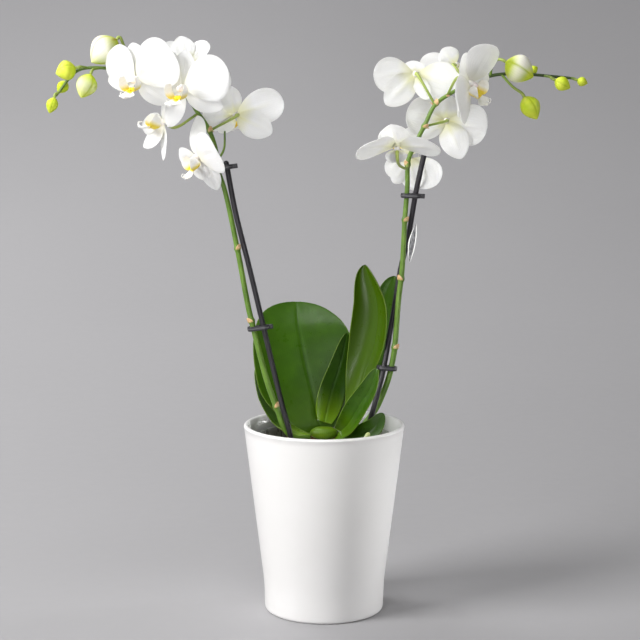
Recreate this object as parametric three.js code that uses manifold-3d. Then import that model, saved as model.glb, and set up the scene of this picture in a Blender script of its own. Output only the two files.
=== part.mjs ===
// Potted moth orchid: a white tapered cover pot holding a clear grow pot with bark, roots, a crown
// with seven leaves, and two arching flower spikes clipped to stakes.
// Millimetres, +Z up. The origin is the centre of the pot's foot, and the front faces -Y.

import * as THREE from "three";
import { mergeVertices } from "three/addons/utils/BufferGeometryUtils.js";
import Module from "manifold-3d";

const wasm = await Module();
wasm.setup();

// ---- driving dimensions ----------------------------------------------------------------------

const pot = { height: 165, rim: 70, foot: 52, shoulder: 25, wall: 4.4, floor: 8, edge: 3, sides: 36 };
const growPot = { base: 8.4, height: 154, rim: 60.5, foot: 45, wall: 1.2, lip: 2.2, sides: 28 };
const bark = { height: 143, chips: 9, chipSize: 16, sides: 14, seed: 7 };
const crown = { base: 150.8, height: 162, halfWidth: 12, halfDepth: 8 };
const rootRadius = 2.6;
const stemRadius = { foot: 2.6, tip: 1.1, pedicel: 1.1, node: 3.4 };
const clipSize = { height: 4, wall: 1.6, spare: 0.9, level: 0.5, tabHalf: 1.4 };
const labelSize = { length: 34, width: 12, thickness: 0.8 };
const stakeRadius = 2.3;
const leafThickness = 1.8;
const bluntTip = 0.09; // a leaf's width at its very tip, as a share of its full width
const petalThickness = 0.8;
const gap = 0.4; // left between pieces that touch

// One open bloom at size 1, seen from its front: x right, z up, the face towards -y.
const flower = {
  start: 1.4, setBack: 1.6, sepalLean: 4, curl: 0.08,
  column: { radius: 2.8, length: 11, rear: 4 },
  lip: { throat: 8.2, lobe: 10, middle: 8.4, tongue: 13, width: 16 },
};

// ---- finishes --------------------------------------------------------------------------------

const finishes = {
  ceramic: { color: 0xf2f1ee, roughness: 0.28 },
  clearPlastic: { color: 0xb4b8b6, roughness: 0.3 },
  bark: { color: 0x6b4a33, roughness: 0.9 },
  root: { color: 0xb9bfa6, roughness: 0.7 },
  crown: { color: 0x86a83c, roughness: 0.5 },
  leaf: { color: 0x2f5a1d, roughness: 0.35 },
  stem: { color: 0x5e8436, roughness: 0.5 },
  stake: { color: 0x2a252b, roughness: 0.5 },
  clip: { color: 0x38383c, roughness: 0.55 },
  label: { color: 0xd8d8d6, roughness: 0.6 },
  petal: { color: 0xf7f7f2, roughness: 0.6 },
  lip: { color: 0xf2e78a, roughness: 0.5 },
  bud: { color: 0xc9dc5c, roughness: 0.5 },
};

const orchid = new THREE.Group();

function place(name, geometry, finish) {
  const material = new THREE.MeshStandardMaterial({ metalness: 0, ...finishes[finish] });
  const mesh = new THREE.Mesh(geometry, material);
  mesh.name = name;
  orchid.add(mesh);
  return mesh;
}

// ---- solids ----------------------------------------------------------------------------------

const vec = (x, y, z) => new THREE.Vector3(x, y, z);
const degrees = (angle) => THREE.MathUtils.degToRad(angle);

// A closed mesh from points and triangles, turned right side out by the sign of its volume.
function closedMesh(points, triangles) {
  let volume = 0;
  for (const [a, b, c] of triangles) volume += points[a].dot(vec().crossVectors(points[b], points[c]));
  const faces = volume < 0 ? triangles.map(([a, b, c]) => [a, c, b]) : triangles;
  const geometry = new THREE.BufferGeometry().setFromPoints(points);
  geometry.setIndex(faces.flat());
  return geometry;
}

function asSolid(geometry) {
  const bare = new THREE.BufferGeometry();
  bare.setAttribute("position", geometry.getAttribute("position").clone());
  if (geometry.index) bare.setIndex(geometry.index.clone());
  const merged = mergeVertices(bare, 1e-4);
  const index = merged.index.array;
  const corners = [];
  for (let i = 0; i < index.length; i += 3) {
    const [a, b, c] = index.slice(i, i + 3);
    if (a !== b && b !== c && c !== a) corners.push(a, b, c);
  }
  return new wasm.Manifold(new wasm.Mesh({
    numProp: 3,
    vertProperties: new Float32Array(merged.getAttribute("position").array),
    triVerts: new Uint32Array(corners),
  }));
}

function asGeometry(solid) {
  const mesh = solid.getMesh();
  const geometry = new THREE.BufferGeometry();
  geometry.setAttribute("position", new THREE.BufferAttribute(mesh.vertProperties, 3));
  geometry.setIndex(new THREE.BufferAttribute(mesh.triVerts, 1));
  return geometry;
}

function fuse(shapes) {
  return asGeometry(shapes.map(asSolid).reduce((whole, next) => whole.add(next)));
}

function cut(shape, tools) {
  return asGeometry(tools.map(asSolid).reduce((left, tool) => left.subtract(tool), asSolid(shape)));
}

// A blade: a surface of s (0 at its base, 1 at its tip) and t (-1 at one edge, 1 at the other),
// given a thickness. Both faces are split into the same triangles, so they never cross, and the
// normals of the last row turn half as far, so a curled tip doesn't fold through itself.
function blade(surface, rows, columns, thickness) {
  const points = [];
  const triangles = [];
  const step = 0.02;
  const slope = (s, t, ds, dt) => surface(Math.min(s + ds, 1), Math.min(t + dt, 1))
    .sub(surface(Math.max(s - ds, 0), Math.max(t - dt, -1)));
  for (const side of [0.5, -0.5]) {
    for (let i = 0; i <= rows; i++) {
      for (let j = 0; j <= columns; j++) {
        const s = 0.5 - 0.5 * Math.cos(Math.PI * i / rows);
        const t = 2 * j / columns - 1;
        const lean = i < rows ? t : t / 2;
        const normal = slope(s, lean, step, 0).cross(slope(s, lean, 0, step)).normalize();
        points.push(surface(s, t).addScaledVector(normal, side * thickness));
      }
    }
  }
  const back = (rows + 1) * (columns + 1);
  const at = (i, j) => i * (columns + 1) + j;
  const wall = (a, b) => triangles.push([a, b, b + back], [a, b + back, a + back]);
  for (let i = 0; i < rows; i++) {
    for (let j = 0; j < columns; j++) {
      const [a, b, c, d] = [at(i, j), at(i + 1, j), at(i + 1, j + 1), at(i, j + 1)];
      triangles.push([a, c, b], [a, d, c], [a + back, b + back, c + back], [a + back, c + back, d + back]);
    }
    wall(at(i, 0), at(i + 1, 0));
    wall(at(i + 1, columns), at(i, columns));
  }
  for (let j = 0; j < columns; j++) {
    wall(at(0, j + 1), at(0, j));
    wall(at(rows, j), at(rows, j + 1));
  }
  return closedMesh(points, triangles);
}

function smoothCurve(points) {
  return new THREE.CatmullRomCurve3(points.map((point) => vec(...point)), false, "centripetal");
}

// A round shoot along a curve, its radius a function of how far along it lies (0 to 1).
function shoot(points, radius, sides, steps) {
  const curve = smoothCurve(points);
  const section = new THREE.Shape(new THREE.EllipseCurve(0, 0, 1, 1, 0, 2 * Math.PI).getPoints(sides).slice(1));
  const geometry = new THREE.ExtrudeGeometry(section, { extrudePath: curve, steps, bevelEnabled: false });
  const centres = curve.getSpacedPoints(steps);
  const position = geometry.getAttribute("position");
  for (let i = 0; i < position.count; i++) {
    const point = vec().fromBufferAttribute(position, i);
    const ring = nearest(centres, point);
    point.sub(centres[ring]).multiplyScalar(radius(ring / steps)).add(centres[ring]);
    position.setXYZ(i, point.x, point.y, point.z);
  }
  return geometry;
}

function nearest(centres, point) {
  let best = 0;
  centres.forEach((centre, i) => {
    if (centre.distanceToSquared(point) < centres[best].distanceToSquared(point)) best = i;
  });
  return best;
}

const tube = (points, radius, sides, steps) => shoot(points, () => radius, sides, steps);

// A route made a little longer at both ends, for the hole that a piece with this route stands in.
function longer(points, extra) {
  const [first, second] = points.map((point) => vec(...point));
  const [beforeLast, last] = points.slice(-2).map((point) => vec(...point));
  first.addScaledVector(first.clone().sub(second).normalize(), extra);
  last.addScaledVector(last.clone().sub(beforeLast).normalize(), extra);
  return [first.toArray(), ...points.slice(1, -1), last.toArray()];
}

function ball(centre, radii, around, down) {
  return new THREE.SphereGeometry(1, around, down).scale(...radii).translate(...centre);
}

// ---- pot, grow pot and bark ------------------------------------------------------------------

// The outer pot's radius at a height: nearly upright at the foot, then a straight flare to the rim.
function potRadius(height) {
  const shoulderRadius = pot.foot + 0.8;
  if (height < pot.shoulder) return pot.foot + 0.8 * height / pot.shoulder;
  return shoulderRadius + (pot.rim - shoulderRadius) * (height - pot.shoulder) / (pot.height - pot.shoulder);
}

function coverPot() {
  const half = pot.wall / 2;
  const outline = new THREE.Path();
  outline.moveTo(0, 0);
  outline.lineTo(pot.foot - pot.edge, 0);
  outline.quadraticCurveTo(pot.foot, 0, potRadius(pot.edge), pot.edge);
  outline.lineTo(potRadius(pot.shoulder), pot.shoulder);
  outline.lineTo(pot.rim, pot.height - half);
  outline.absarc(pot.rim - half, pot.height - half, half, 0, Math.PI, false);
  outline.lineTo(potRadius(pot.floor) - pot.wall, pot.floor);
  outline.lineTo(0, pot.floor);
  const profile = outline.getPoints(2).map((point) => new THREE.Vector2(Math.max(point.x, 0), point.y));
  return new THREE.LatheGeometry(profile, pot.sides).rotateX(Math.PI / 2);
}

const growPotRadius = (height) => growPot.foot
  + (growPot.rim - growPot.lip - growPot.foot) * (height - growPot.base) / (growPot.height - growPot.base);

function clearPot() {
  const { base, height, rim, foot, wall, lip, sides } = growPot;
  const inner = rim - lip - wall;
  const profile = [
    [0, base], [foot, base], [rim - lip, height - 2 * wall], [rim, height - wall], [rim - 0.5, height],
    [inner, height], [foot - wall, base + wall], [0, base + wall],
  ].map(([radius, z]) => new THREE.Vector2(radius, z));
  return new THREE.LatheGeometry(profile, sides).rotateX(Math.PI / 2);
}

// Random numbers from 0 to 1 that come out the same on every run.
function seededRandom(seed) {
  let state = seed;
  return () => {
    state = (state * 16807) % 2147483647;
    return state / 2147483647;
  };
}

function barkFill(holes) {
  const random = seededRandom(bark.seed);
  const bottom = growPot.base + growPot.wall + gap;
  const inside = (height) => growPotRadius(height) - growPot.wall - gap;
  const profile = [
    [0, bottom], [inside(bottom), bottom], [inside(bark.height), bark.height], [0, bark.height + 1],
  ].map(([radius, z]) => new THREE.Vector2(radius, z));
  const chips = [];
  for (let i = 0; i < bark.chips; i++) {
    const turn = i * 2.4;
    const reach = (inside(bark.height) - 12) * Math.sqrt((i + 2) / (bark.chips + 2));
    const size = bark.chipSize * (0.7 + 0.6 * random());
    const chip = new THREE.BoxGeometry(size, size * 0.62, size * 0.4);
    chip.rotateX(0.7 * random() - 0.35).rotateY(0.7 * random() - 0.35).rotateZ(Math.PI * random());
    chips.push(chip.translate(reach * Math.cos(turn), reach * Math.sin(turn), bark.height + 0.6));
  }
  const fill = fuse([new THREE.LatheGeometry(profile, bark.sides).rotateX(Math.PI / 2), ...chips]);
  return cut(fill, holes);
}

// ---- crown and roots -------------------------------------------------------------------------

const crownSolid = (spare = 0) => ball([0, 0, (crown.base + crown.height) / 2],
  [crown.halfWidth + spare, crown.halfDepth + spare, (crown.height - crown.base) / 2 + spare], 10, 8);

// Aerial roots spread from under the crown, arch over the bark and go down into it.
const rootRoutes = [
  [[0, 0, 148], [-20, 0, 148], [-38, 1, 149.5], [-48, 1, 147], [-50, 1, 132]],
  [[0, 0, 148], [14, -22, 150], [29, -36, 154], [36, -39, 161], [38, -39, 165]],
  [[0, 0, 148], [20, 14, 147.5], [33, 24, 149], [39, 29, 147], [40, 30, 132]],
  [[0, 0, 148], [-8, -18, 149], [-14, -36, 150], [-16, -45, 147], [-16, -46, 130]],
];

function roots(spare = 0) {
  const thin = (along) => rootRadius * (1 - 0.25 * along) + spare;
  const hub = ball([0, 0, 147.6], [7 + spare, 6 + spare, 2.4 + spare], 7, 4);
  return fuse([hub, ...rootRoutes.map((route) => shoot(longer(route, spare), thin, 5, 6))]);
}

// ---- leaves ----------------------------------------------------------------------------------

// Each leaf: its midrib's route, the way it spreads at its base and its tip, its full width, how far
// its two halves fold up towards the upper face (half angle at the base and the tip), how wide its
// neck is, how far along it is fully open, how round its tip is, and how much of its left and its
// right half is there at its base and at its tip.
const leaves = {
  leaf_a_round: {
    rib: [[-3, 10, 157], [-6, 13, 170], [-11, 19, 192], [-18, 30, 220], [-23, 44, 245], [-25, 60, 264]],
    spread: [[1, 0.1, 0], [1, 0.1, -0.05]], width: 94, fold: [14, 12],
    neck: 0.25, open: 0.42, tip: 5, left: [1, 1], right: [1, 1], rows: 8, columns: 6,
  },
  leaf_b_middle: {
    rib: [[0, 3, 165], [2, 8, 174], [6, 13, 190], [12, 19, 208], [17, 24, 227], [20, 28, 240]],
    spread: [[0.9, 0.4, 0], [0.9, 0.4, -0.2]], width: 31, fold: [35, 25],
    neck: 0.5, open: 0.3, tip: 3, left: [1, 0.65], right: [0.85, 0.85], rows: 6, columns: 4,
  },
  leaf_c_low_left: {
    rib: [[-13, 4, 153], [-25, 15.5, 154], [-38, 28, 162], [-50, 38, 182], [-58, 45, 211]],
    spread: [[-0.1, 1, 0], [0.5, 0.4, 0.7]], width: 32, fold: [10, 25],
    neck: 0.3, open: 0.6, tip: 3, left: [1, 1], right: [1, 1], rows: 6, columns: 4,
  },
  leaf_d_tall: {
    rib: [[14, -1, 160], [25.5, 2, 178], [35, 6, 206], [44.5, 7, 238], [46, 7, 270], [35, 8, 303]],
    spread: [[0.8, -0.6, 0], [0.83, -0.55, 0]], width: 60, fold: [75, 95],
    neck: 0.25, open: 0.6, tip: 3.5, left: [0.4, 1.25], right: [0.2, 0.75], rows: 8, columns: 6,
  },
  leaf_e_back_right: {
    rib: [[15, 10, 156], [28, 24, 172], [44, 32, 204], [55, 34, 244], [63, 35, 290]],
    spread: [[0.8, -0.6, 0], [0.8, -0.6, 0]], width: 30, fold: [50, 50],
    neck: 0.35, open: 0.5, tip: 6, left: [1, 1.4], right: [0.9, 0.5], rows: 7, columns: 4,
  },
  leaf_f_front_right: {
    rib: [[14, -11, 160], [21, -20, 169], [30, -25, 185], [39, -28, 201], [45, -28, 218]],
    spread: [[0.7, -0.5, -0.5], [0.8, -0.5, -0.3]], width: 25, fold: [55, 50],
    neck: 0.5, open: 0.5, tip: 2.6, left: [1, 1], right: [1, 1], rows: 6, columns: 4,
  },
  leaf_g_rim_right: {
    rib: [[11, -6, 155], [20, -14, 155], [31, -21, 158], [42, -24, 166], [50.5, -23, 178.5]],
    spread: [[0.1, -0.8, -0.5], [0.6, 0, -0.8]], width: 22, fold: [15, 25],
    neck: 0.4, open: 0.55, tip: 2.6, left: [1, 1], right: [1, 1], rows: 6, columns: 4,
  },
};

// How wide a leaf is along its length, from its neck to full and round again at the tip.
function leafOutline(s, { neck, open, tip }) {
  const opening = 1 - (1 - Math.min(s / open, 1)) ** 2;
  return Math.max((neck + (1 - neck) * opening) * Math.sqrt(1 - s ** tip), bluntTip);
}

// Across the midrib the leaf is an arc: its half angle is the fold, its length the leaf's width.
function leafSurface(leaf) {
  const { rib, spread, width, fold, left, right } = leaf;
  const curve = smoothCurve(rib);
  const [spreadBase, spreadTip] = spread.map((direction) => vec(...direction).normalize());
  return (s, edge) => {
    const t = edge * THREE.MathUtils.lerp(...(edge > 0 ? right : left), s);
    const along = curve.getTangentAt(s);
    const across = spreadBase.clone().lerp(spreadTip, s);
    across.addScaledVector(along, -across.dot(along)).normalize();
    const upper = vec().crossVectors(across, along);
    const bend = degrees(THREE.MathUtils.lerp(fold[0], fold[1], s));
    const half = width / 2 * leafOutline(s, leaf);
    return curve.getPointAt(s)
      .addScaledVector(across, half * Math.sin(bend * t) / bend)
      .addScaledVector(upper, half * (1 - Math.cos(bend * t)) / bend);
  };
}

const leafBlade = (leaf) => blade(leafSurface(leaf), leaf.rows, leaf.columns, leafThickness);

// ---- stakes, clips and label -----------------------------------------------------------------

const stakes = {
  stake_left: [
    [-17, -24, 60], [-23, -23, 110], [-29, -21, 158], [-36, -17, 184], [-43, -12, 212], [-52, -7, 250],
    [-64, -4, 301], [-76, -2, 350], [-83, 0, 388], [-84, 0, 393],
  ],
  stake_right: [
    [12, -22, 60], [24, -20, 110], [36, -15, 158], [43, -12, 182], [50, -6, 208], [57, 2, 244],
    [62, 6, 274], [66, 7, 299], [72, 6, 325], [75, 3, 344], [78, 0, 364], [82, 0, 384], [88, 2, 410],
  ],
};

function stakeTube(name, spare = 0) {
  return tube(longer(stakes[name], spare), stakeRadius + spare, 6, 16);
}

// The point of a route at a height, with the way the route runs there.
function atHeight(route, height) {
  const curve = smoothCurve(route);
  const samples = curve.getSpacedPoints(400);
  let best = 0;
  samples.forEach((point, i) => {
    if (Math.abs(point.z - height) < Math.abs(samples[best].z - height)) best = i;
  });
  return { point: samples[best], along: curve.getTangentAt(best / 400) };
}

// A clip: a flat figure-of-eight band round a stem and a stake, with a finger tab beside the stake.
// It lies between square to the stem and level, at the given height.
const clips = {
  clip_left_low: { spike: "spike_left", stake: "stake_left", height: 249, tab: 8 },
  clip_left_high: { spike: "spike_left", stake: "stake_left", height: 386, tab: 9 },
  clip_right_low: { spike: "spike_right", stake: "stake_right", height: 214, tab: 6 },
  clip_right_high: { spike: "spike_right", stake: "stake_right", height: 363, tab: 8 },
};

function clip({ spike, stake, height, tab }) {
  const stem = atHeight(spikes[spike].rachis, height);
  const upright = stem.along.clone().lerp(vec(0, 0, 1), clipSize.level).normalize();
  const across = atHeight(stakes[stake], height).point.sub(stem.point);
  across.addScaledVector(upright, -across.dot(upright));
  const span = across.length();
  const stemHole = stemRadius.foot + clipSize.spare;
  const stakeHole = stakeRadius + clipSize.spare;
  const [grip, reach] = [stemHole + clipSize.wall, stakeHole + clipSize.wall];
  const band = new THREE.Shape();
  band.absarc(0, 0, grip, Math.PI / 2, 3 * Math.PI / 2, false);
  band.lineTo(span, -reach);
  band.lineTo(span + reach, -clipSize.tabHalf);
  band.lineTo(span + tab, -clipSize.tabHalf);
  band.lineTo(span + tab, clipSize.tabHalf);
  band.lineTo(span + reach, clipSize.tabHalf);
  band.lineTo(span, reach);
  band.closePath();
  band.holes.push(new THREE.Path().absarc(0, 0, stemHole, 0, 2 * Math.PI, true));
  band.holes.push(new THREE.Path().absarc(span, 0, stakeHole, 0, 2 * Math.PI, true));
  const options = { depth: clipSize.height, bevelEnabled: false, curveSegments: 5 };
  const geometry = new THREE.ExtrudeGeometry(band, options).translate(0, 0, -clipSize.height / 2);
  across.normalize();
  const turn = new THREE.Matrix4().makeBasis(across, vec().crossVectors(upright, across), upright);
  return geometry.applyMatrix4(turn).translate(stem.point.x, stem.point.y, stem.point.z);
}

// The bare label: a pointed lens of card that stands along the right stake.
const labelPlace = { foot: [73, -6, 306], up: [0.16, -0.03, 1], across: [0.45, -0.9, 0] };

function label() {
  const { foot, up, across } = labelPlace;
  const face = (s, t) => vec(...foot).addScaledVector(vec(...up), s * labelSize.length)
    .addScaledVector(vec(...across), t * labelSize.width / 2 * Math.max(Math.sin(Math.PI * s), 0.05));
  return blade(face, 5, 2, labelSize.thickness);
}

// ---- spikes ----------------------------------------------------------------------------------

// Each spike: the route of its main stem and the heights along it where a joint swells.
const spikes = {
  spike_left: {
    rachis: [
      [-12, -7, 154], [-22, -12, 154], [-32, -14, 160], [-41, -11, 181], [-49, -9, 203], [-60, -7, 246],
      [-65, -6, 267], [-74, -4, 316], [-85, -1, 368], [-92, 0, 390], [-92, 1, 400], [-98, 2, 419],
      [-108, 4, 434], [-115, 6, 444], [-130, 8, 455], [-148, 9, 463], [-167, 8, 468], [-186, 5, 471],
      [-206, 2, 470], [-215, 2, 464], [-221, 1, 456], [-228, 0, 447],
    ],
    joints: [[-41.5, -11, 182], [-62, -6.5, 256], [-74.5, -4, 318], [-92.5, 0.3, 391], [-98, 2, 418]],
    shoots: [[[-92, 1, 392], [-86, 8, 402], [-85, 9, 418]]],
  },
  spike_right: {
    rachis: [
      [13, 3, 153], [23, 1, 153.5], [31, -2, 159], [38, -4, 169], [45, -5, 179], [51, -4, 192], [56, -3, 206],
      [59, -2, 219], [61, -2, 232], [62.5, -1, 251], [64, 0, 272], [67, 0, 299], [68, 0, 319],
      [69, 0, 342], [71, 0, 371], [71.5, 0, 392], [75, 0, 402], [81, 1, 414], [86, 1, 424],
      [94, 0, 440], [106, 0, 449], [124, 4, 458], [144, 4, 465], [165, 4, 466], [193, 1, 464], [213, 0, 462],
    ],
    joints: [[61, -2, 232], [66, 0, 292], [69, 0, 342], [71.3, 0, 390], [86, 1, 422], [95, 0, 441]],
    shoots: [],
  },
};

// A flower stalk leaves the main stem where its bloom says and comes straight up behind the bloom.
function stalk({ at, yaw, pitch, roll = 0, size = 1, joins, bend = [] }) {
  const turn = new THREE.Euler(-degrees(pitch), degrees(roll), degrees(yaw), "ZXY");
  const backward = vec(0, 1, 0).applyEuler(turn);
  const rear = vec(...at).addScaledVector(backward, size * flower.column.rear + gap);
  const approach = rear.clone().addScaledVector(backward, 8);
  const route = [joins, ...bend, approach.toArray(), rear.toArray()];
  return tube(route, stemRadius.pedicel, 4, 5);
}

// A bud's stalk ends in line with the bud.
function budStalk({ route, tip }) {
  const foot = vec(...route.at(-1));
  const before = foot.clone().addScaledVector(vec(...tip).sub(foot).normalize(), -3);
  return tube([...route.slice(0, -1), before.toArray(), foot.toArray()], stemRadius.pedicel, 4, 4);
}

function spike(name) {
  const { rachis, joints, shoots } = spikes[name];
  const side = name.replace("spike_", "");
  const slim = (along) => THREE.MathUtils.lerp(stemRadius.foot, stemRadius.tip, along ** 1.6);
  const parts = [shoot(rachis, slim, 6, 30)];
  for (const joint of joints) parts.push(ball(joint, [stemRadius.node, stemRadius.node, 2.6], 6, 3));
  for (const route of shoots) parts.push(tube(route, stemRadius.pedicel, 4, 4));
  for (const [bloom, pose] of Object.entries(blooms)) if (bloom.includes(side)) parts.push(stalk(pose));
  for (const [bud, place] of Object.entries(buds)) if (bud.includes(side)) parts.push(budStalk(place));
  return fuse(parts);
}

// ---- blooms ----------------------------------------------------------------------------------

// Width along a petal: a narrow claw at its base, then full, with a round end.
const petalOutline = (s) => Math.max(1.14 * (1 - (1 - s) ** 3) ** 0.9 * Math.sqrt(1 - s ** 4), 0.07);
// Width along a sepal: an ellipse with a blunt point.
const sepalOutline = (s) => Math.max(1.24 * (1 - (1 - s) ** 3) ** 0.7 * (1 - s ** 2.2) ** 0.6, 0.1);

// A petal or sepal goes out from the flower's centre at an angle, swept back by another and twisted
// about its own middle line. Its edges curl back as the square of their distance from that line, and
// its end droops back as the square of the way along it.
function tepalSurface([angle, length, width, sweep, twist = 0], isPetal, droop = 0) {
  const out = vec(Math.cos(degrees(angle)), 0, Math.sin(degrees(angle)));
  const across = vec(out.z, 0, -out.x).multiplyScalar(Math.cos(degrees(twist)));
  across.y = Math.sin(degrees(twist));
  const outline = isPetal ? petalOutline : sepalOutline;
  const curl = isPetal ? flower.curl : flower.curl / 2;
  const setBack = isPetal ? 0 : flower.setBack;
  const lean = degrees(isPetal ? sweep : sweep + flower.sepalLean);
  return (s, t) => {
    const back = setBack + length * s * Math.sin(lean) + curl * width * t * t * outline(s) * s + droop * s * s;
    return vec(0, back, 0)
      .addScaledVector(out, flower.start + length * s * Math.cos(lean))
      .addScaledVector(across, t * width / 2 * outline(s));
  };
}

function bloomSolid({ tepals, droop = 0 }) {
  const { column } = flower;
  const petals = tepals.slice(0, 2)
    .map((tepal) => blade(tepalSurface(tepal, true, droop), 4, 4, petalThickness));
  const sepals = tepals.slice(2)
    .map((tepal) => blade(tepalSurface(tepal, false), 3, 2, petalThickness));
  const middle = column.rear - column.length / 2;
  const post = ball([0, middle, 0], [column.radius, column.length / 2, column.radius], 6, 4);
  return fuse([...petals, ...sepals, post]);
}

// The lip: a throat bent into a U, whose two arms are the side lobes beside the column, and a broad
// tongue that reaches forward from it and curls up at its end.
function lipSolid() {
  const { throat, lobe, middle, tongue, width } = flower.lip;
  const cradle = (s, t) => {
    const turn = Math.PI * (2 * s - 1) * 0.62;
    return vec(throat * Math.sin(turn), -middle - t * lobe / 2 * (0.55 + 0.45 * Math.abs(2 * s - 1)),
      -1 - throat * Math.cos(turn));
  };
  const apron = (s, t) => vec(t * width / 2 * (1 - 0.55 * s * s), -middle - 0.6 - tongue * Math.sin(1.5 * s),
    -9.2 - 4 * Math.sin(2.4 * s) + 2 * t * t);
  return fuse([blade(cradle, 4, 2, 0.9), blade(apron, 4, 2, 0.9)]);
}

// Where a bloom stands: its centre, then the turn to its right (yaw), up (pitch) and its roll.
function stand(mesh, { at, yaw, pitch, roll = 0, size = 1 }) {
  mesh.rotation.set(-degrees(pitch), degrees(roll), degrees(yaw), "ZXY");
  mesh.position.set(...at);
  mesh.scale.setScalar(size);
}

// Each bloom: where it stands and where its stalk leaves the main stem, then its five tepals, as angle,
// length, width, sweep back and twist: right petal, left petal, dorsal, right and left lateral sepal.
const blooms = {
  bloom_left_1: {
    at: [-156, -30, 461], yaw: -30, pitch: -12, size: 0.94, joins: [-140, 8, 460],
    tepals: [[31, 43, 46, 12], [146, 37, 37, 8], [100, 31, 27, 10], [-42, 34, 27, 12], [184, 36, 22, 6]],
  },
  bloom_left_2: {
    at: [-117, -38, 454], yaw: -28, pitch: -7, size: 0.98, joins: [-112, 5, 441],
    tepals: [[17, 43, 39, 10], [150, 36, 40, 14], [93, 31, 23, 12], [-31, 36, 25, 12], [234, 42, 20, 8]],
  },
  bloom_left_3: {
    at: [-138, 8, 425], yaw: -66, pitch: 22, size: 0.9, joins: [-107, 4, 433],
    tepals: [
      [35, 24, 20, -20, 30], [190, 29, 23, -19],
      [112, 26, 22, -14], [-84, 34, 17, 14], [244, 30, 24, -16, -15],
    ],
  },
  bloom_left_4: {
    at: [-107, -16, 397], yaw: -62, pitch: -30, size: 0.9, joins: [-94, 1, 408],
    tepals: [
      [2, 31, 44, 16], [180, 24, 24, -20],
      [98, 36, 20, 28, 45], [-88, 36, 24, -4, -30], [252, 24, 22, -18, -30],
    ],
  },
  bloom_left_5: {
    at: [-77, 27, 431], yaw: 194, pitch: 0, roll: 6, size: 1.05, joins: [-98, 2, 418],
    tepals: [[0, 28, 22, 12], [168, 40, 29, 10], [74, 29, 18, 30], [-36, 20, 16, 12, 40], [213, 32, 24, 12]],
  },
  bloom_left_6: {
    at: [-118, 34, 475], yaw: 172, pitch: -42, size: 0.85, joins: [-125, 7, 452],
    tepals: [[20, 33, 36, 12], [124, 30, 22, 12], [70, 31, 25, 10], [-46, 30, 24, 16], [226, 30, 24, 16]],
  },
  bloom_right_1: {
    at: [78, 16, 466], yaw: 184, pitch: 0, size: 0.98, joins: [94, 0, 440],
    tepals: [[-2, 37, 31, 12], [196, 36, 34, 10], [90, 20, 20, -62], [-44, 38, 26, 12], [246, 24, 14, 14]],
  },
  bloom_right_2: {
    at: [115.5, 40, 474], yaw: 158, pitch: 0, size: 0.85, joins: [125, 4, 458.5], bend: [[121, 14, 462]],
    tepals: [[0, 37, 26, 12], [196, 26, 22, 12], [50, 21, 23, 12], [-40, 28, 24, 16], [240, 24, 20, 16]],
  },
  bloom_right_3: {
    at: [60.4, -33, 405.5], yaw: 180, pitch: 50, size: 0.98, droop: 7,
    joins: [71.5, 0, 392], bend: [[70, -8, 387], [63, -25, 390]],
    tepals: [[28, 37, 34, 14], [152, 38, 29, 12], [76, 24, 28, -22], [-78, 16, 16, 4], [262, 16, 16, 4]],
  },
  bloom_right_4: {
    at: [76, 48, 394], yaw: 174, pitch: -15, size: 0.9, joins: [71, 0, 386],
    tepals: [[-42, 28, 24, 12], [228, 39, 32, 12], [90, 28, 24, 20], [-62, 32, 22, 12], [262, 36, 26, 12]],
  },
  bloom_right_5: {
    at: [106, 32, 426.3], yaw: 180, pitch: 0, size: 1, joins: [86, 1, 422],
    tepals: [[10, 35, 34, 12], [190, 35, 36, 10], [88, 22, 26, 14], [-36, 26, 12, 12], [248, 35, 26, 12]],
  },
  bloom_right_6: {
    at: [121.5, -26, 458], yaw: 62, pitch: -25, roll: -25, size: 0.95, joins: [104, 0, 448],
    tepals: [
      [63, 37, 44, -6, -16], [191, 37, 45, -20, 20],
      [95, 27, 24, 16], [-15, 30, 20, -12], [240, 30, 22, -14],
    ],
  },
};

// ---- buds ------------------------------------------------------------------------------------

// Each bud: the route of its stalk from the main stem, then its tip and its full width.
const buds = {
  bud_left_1: {
    route: [[-172, 8, 468], [-168, 5, 482], [-170, 2, 491], [-175, 0, 495]],
    tip: [-196, -5, 475.5], width: 25.5,
  },
  bud_left_2: { route: [[-190, 5, 471], [-195, 0, 470], [-197, -4, 466]], tip: [-205, -8, 446], width: 18 },
  bud_left_3: { route: [[-200, 3, 471], [-205, -3, 472], [-209, -6, 471]], tip: [-226, -8, 466], width: 17 },
  bud_left_4: { route: [[-215, 2, 464], [-217, 5, 462], [-219, 7, 460]], tip: [-227, 8, 450], width: 10 },
  bud_left_5: { route: [[-221, 1, 456], [-226, 0, 450], [-228.5, -1, 446.5]], tip: [-233, -2, 433], width: 10 },
  bud_right_1: {
    route: [[141, 4, 465], [142, -3, 474], [146, -9, 478], [152, -12, 476]],
    tip: [175, -15, 463], width: 24,
  },
  bud_right_2: { route: [[165, 4, 466], [171, 8, 466], [174, 9, 467]], tip: [182, 12, 472], width: 8 },
  bud_right_3: { route: [[150, 4, 466], [160, 1, 455], [169, -2, 447]], tip: [180, -6, 428], width: 17 },
  bud_right_4: { route: [[186, 2, 464.5], [190, -4, 463.5], [194, -8, 461]], tip: [207, -9, 454], width: 12 },
  bud_right_5: { route: [[208, 0, 462.5], [212, 0, 462], [214, 0, 461]], tip: [223, 0, 458], width: 8 },
};

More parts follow.
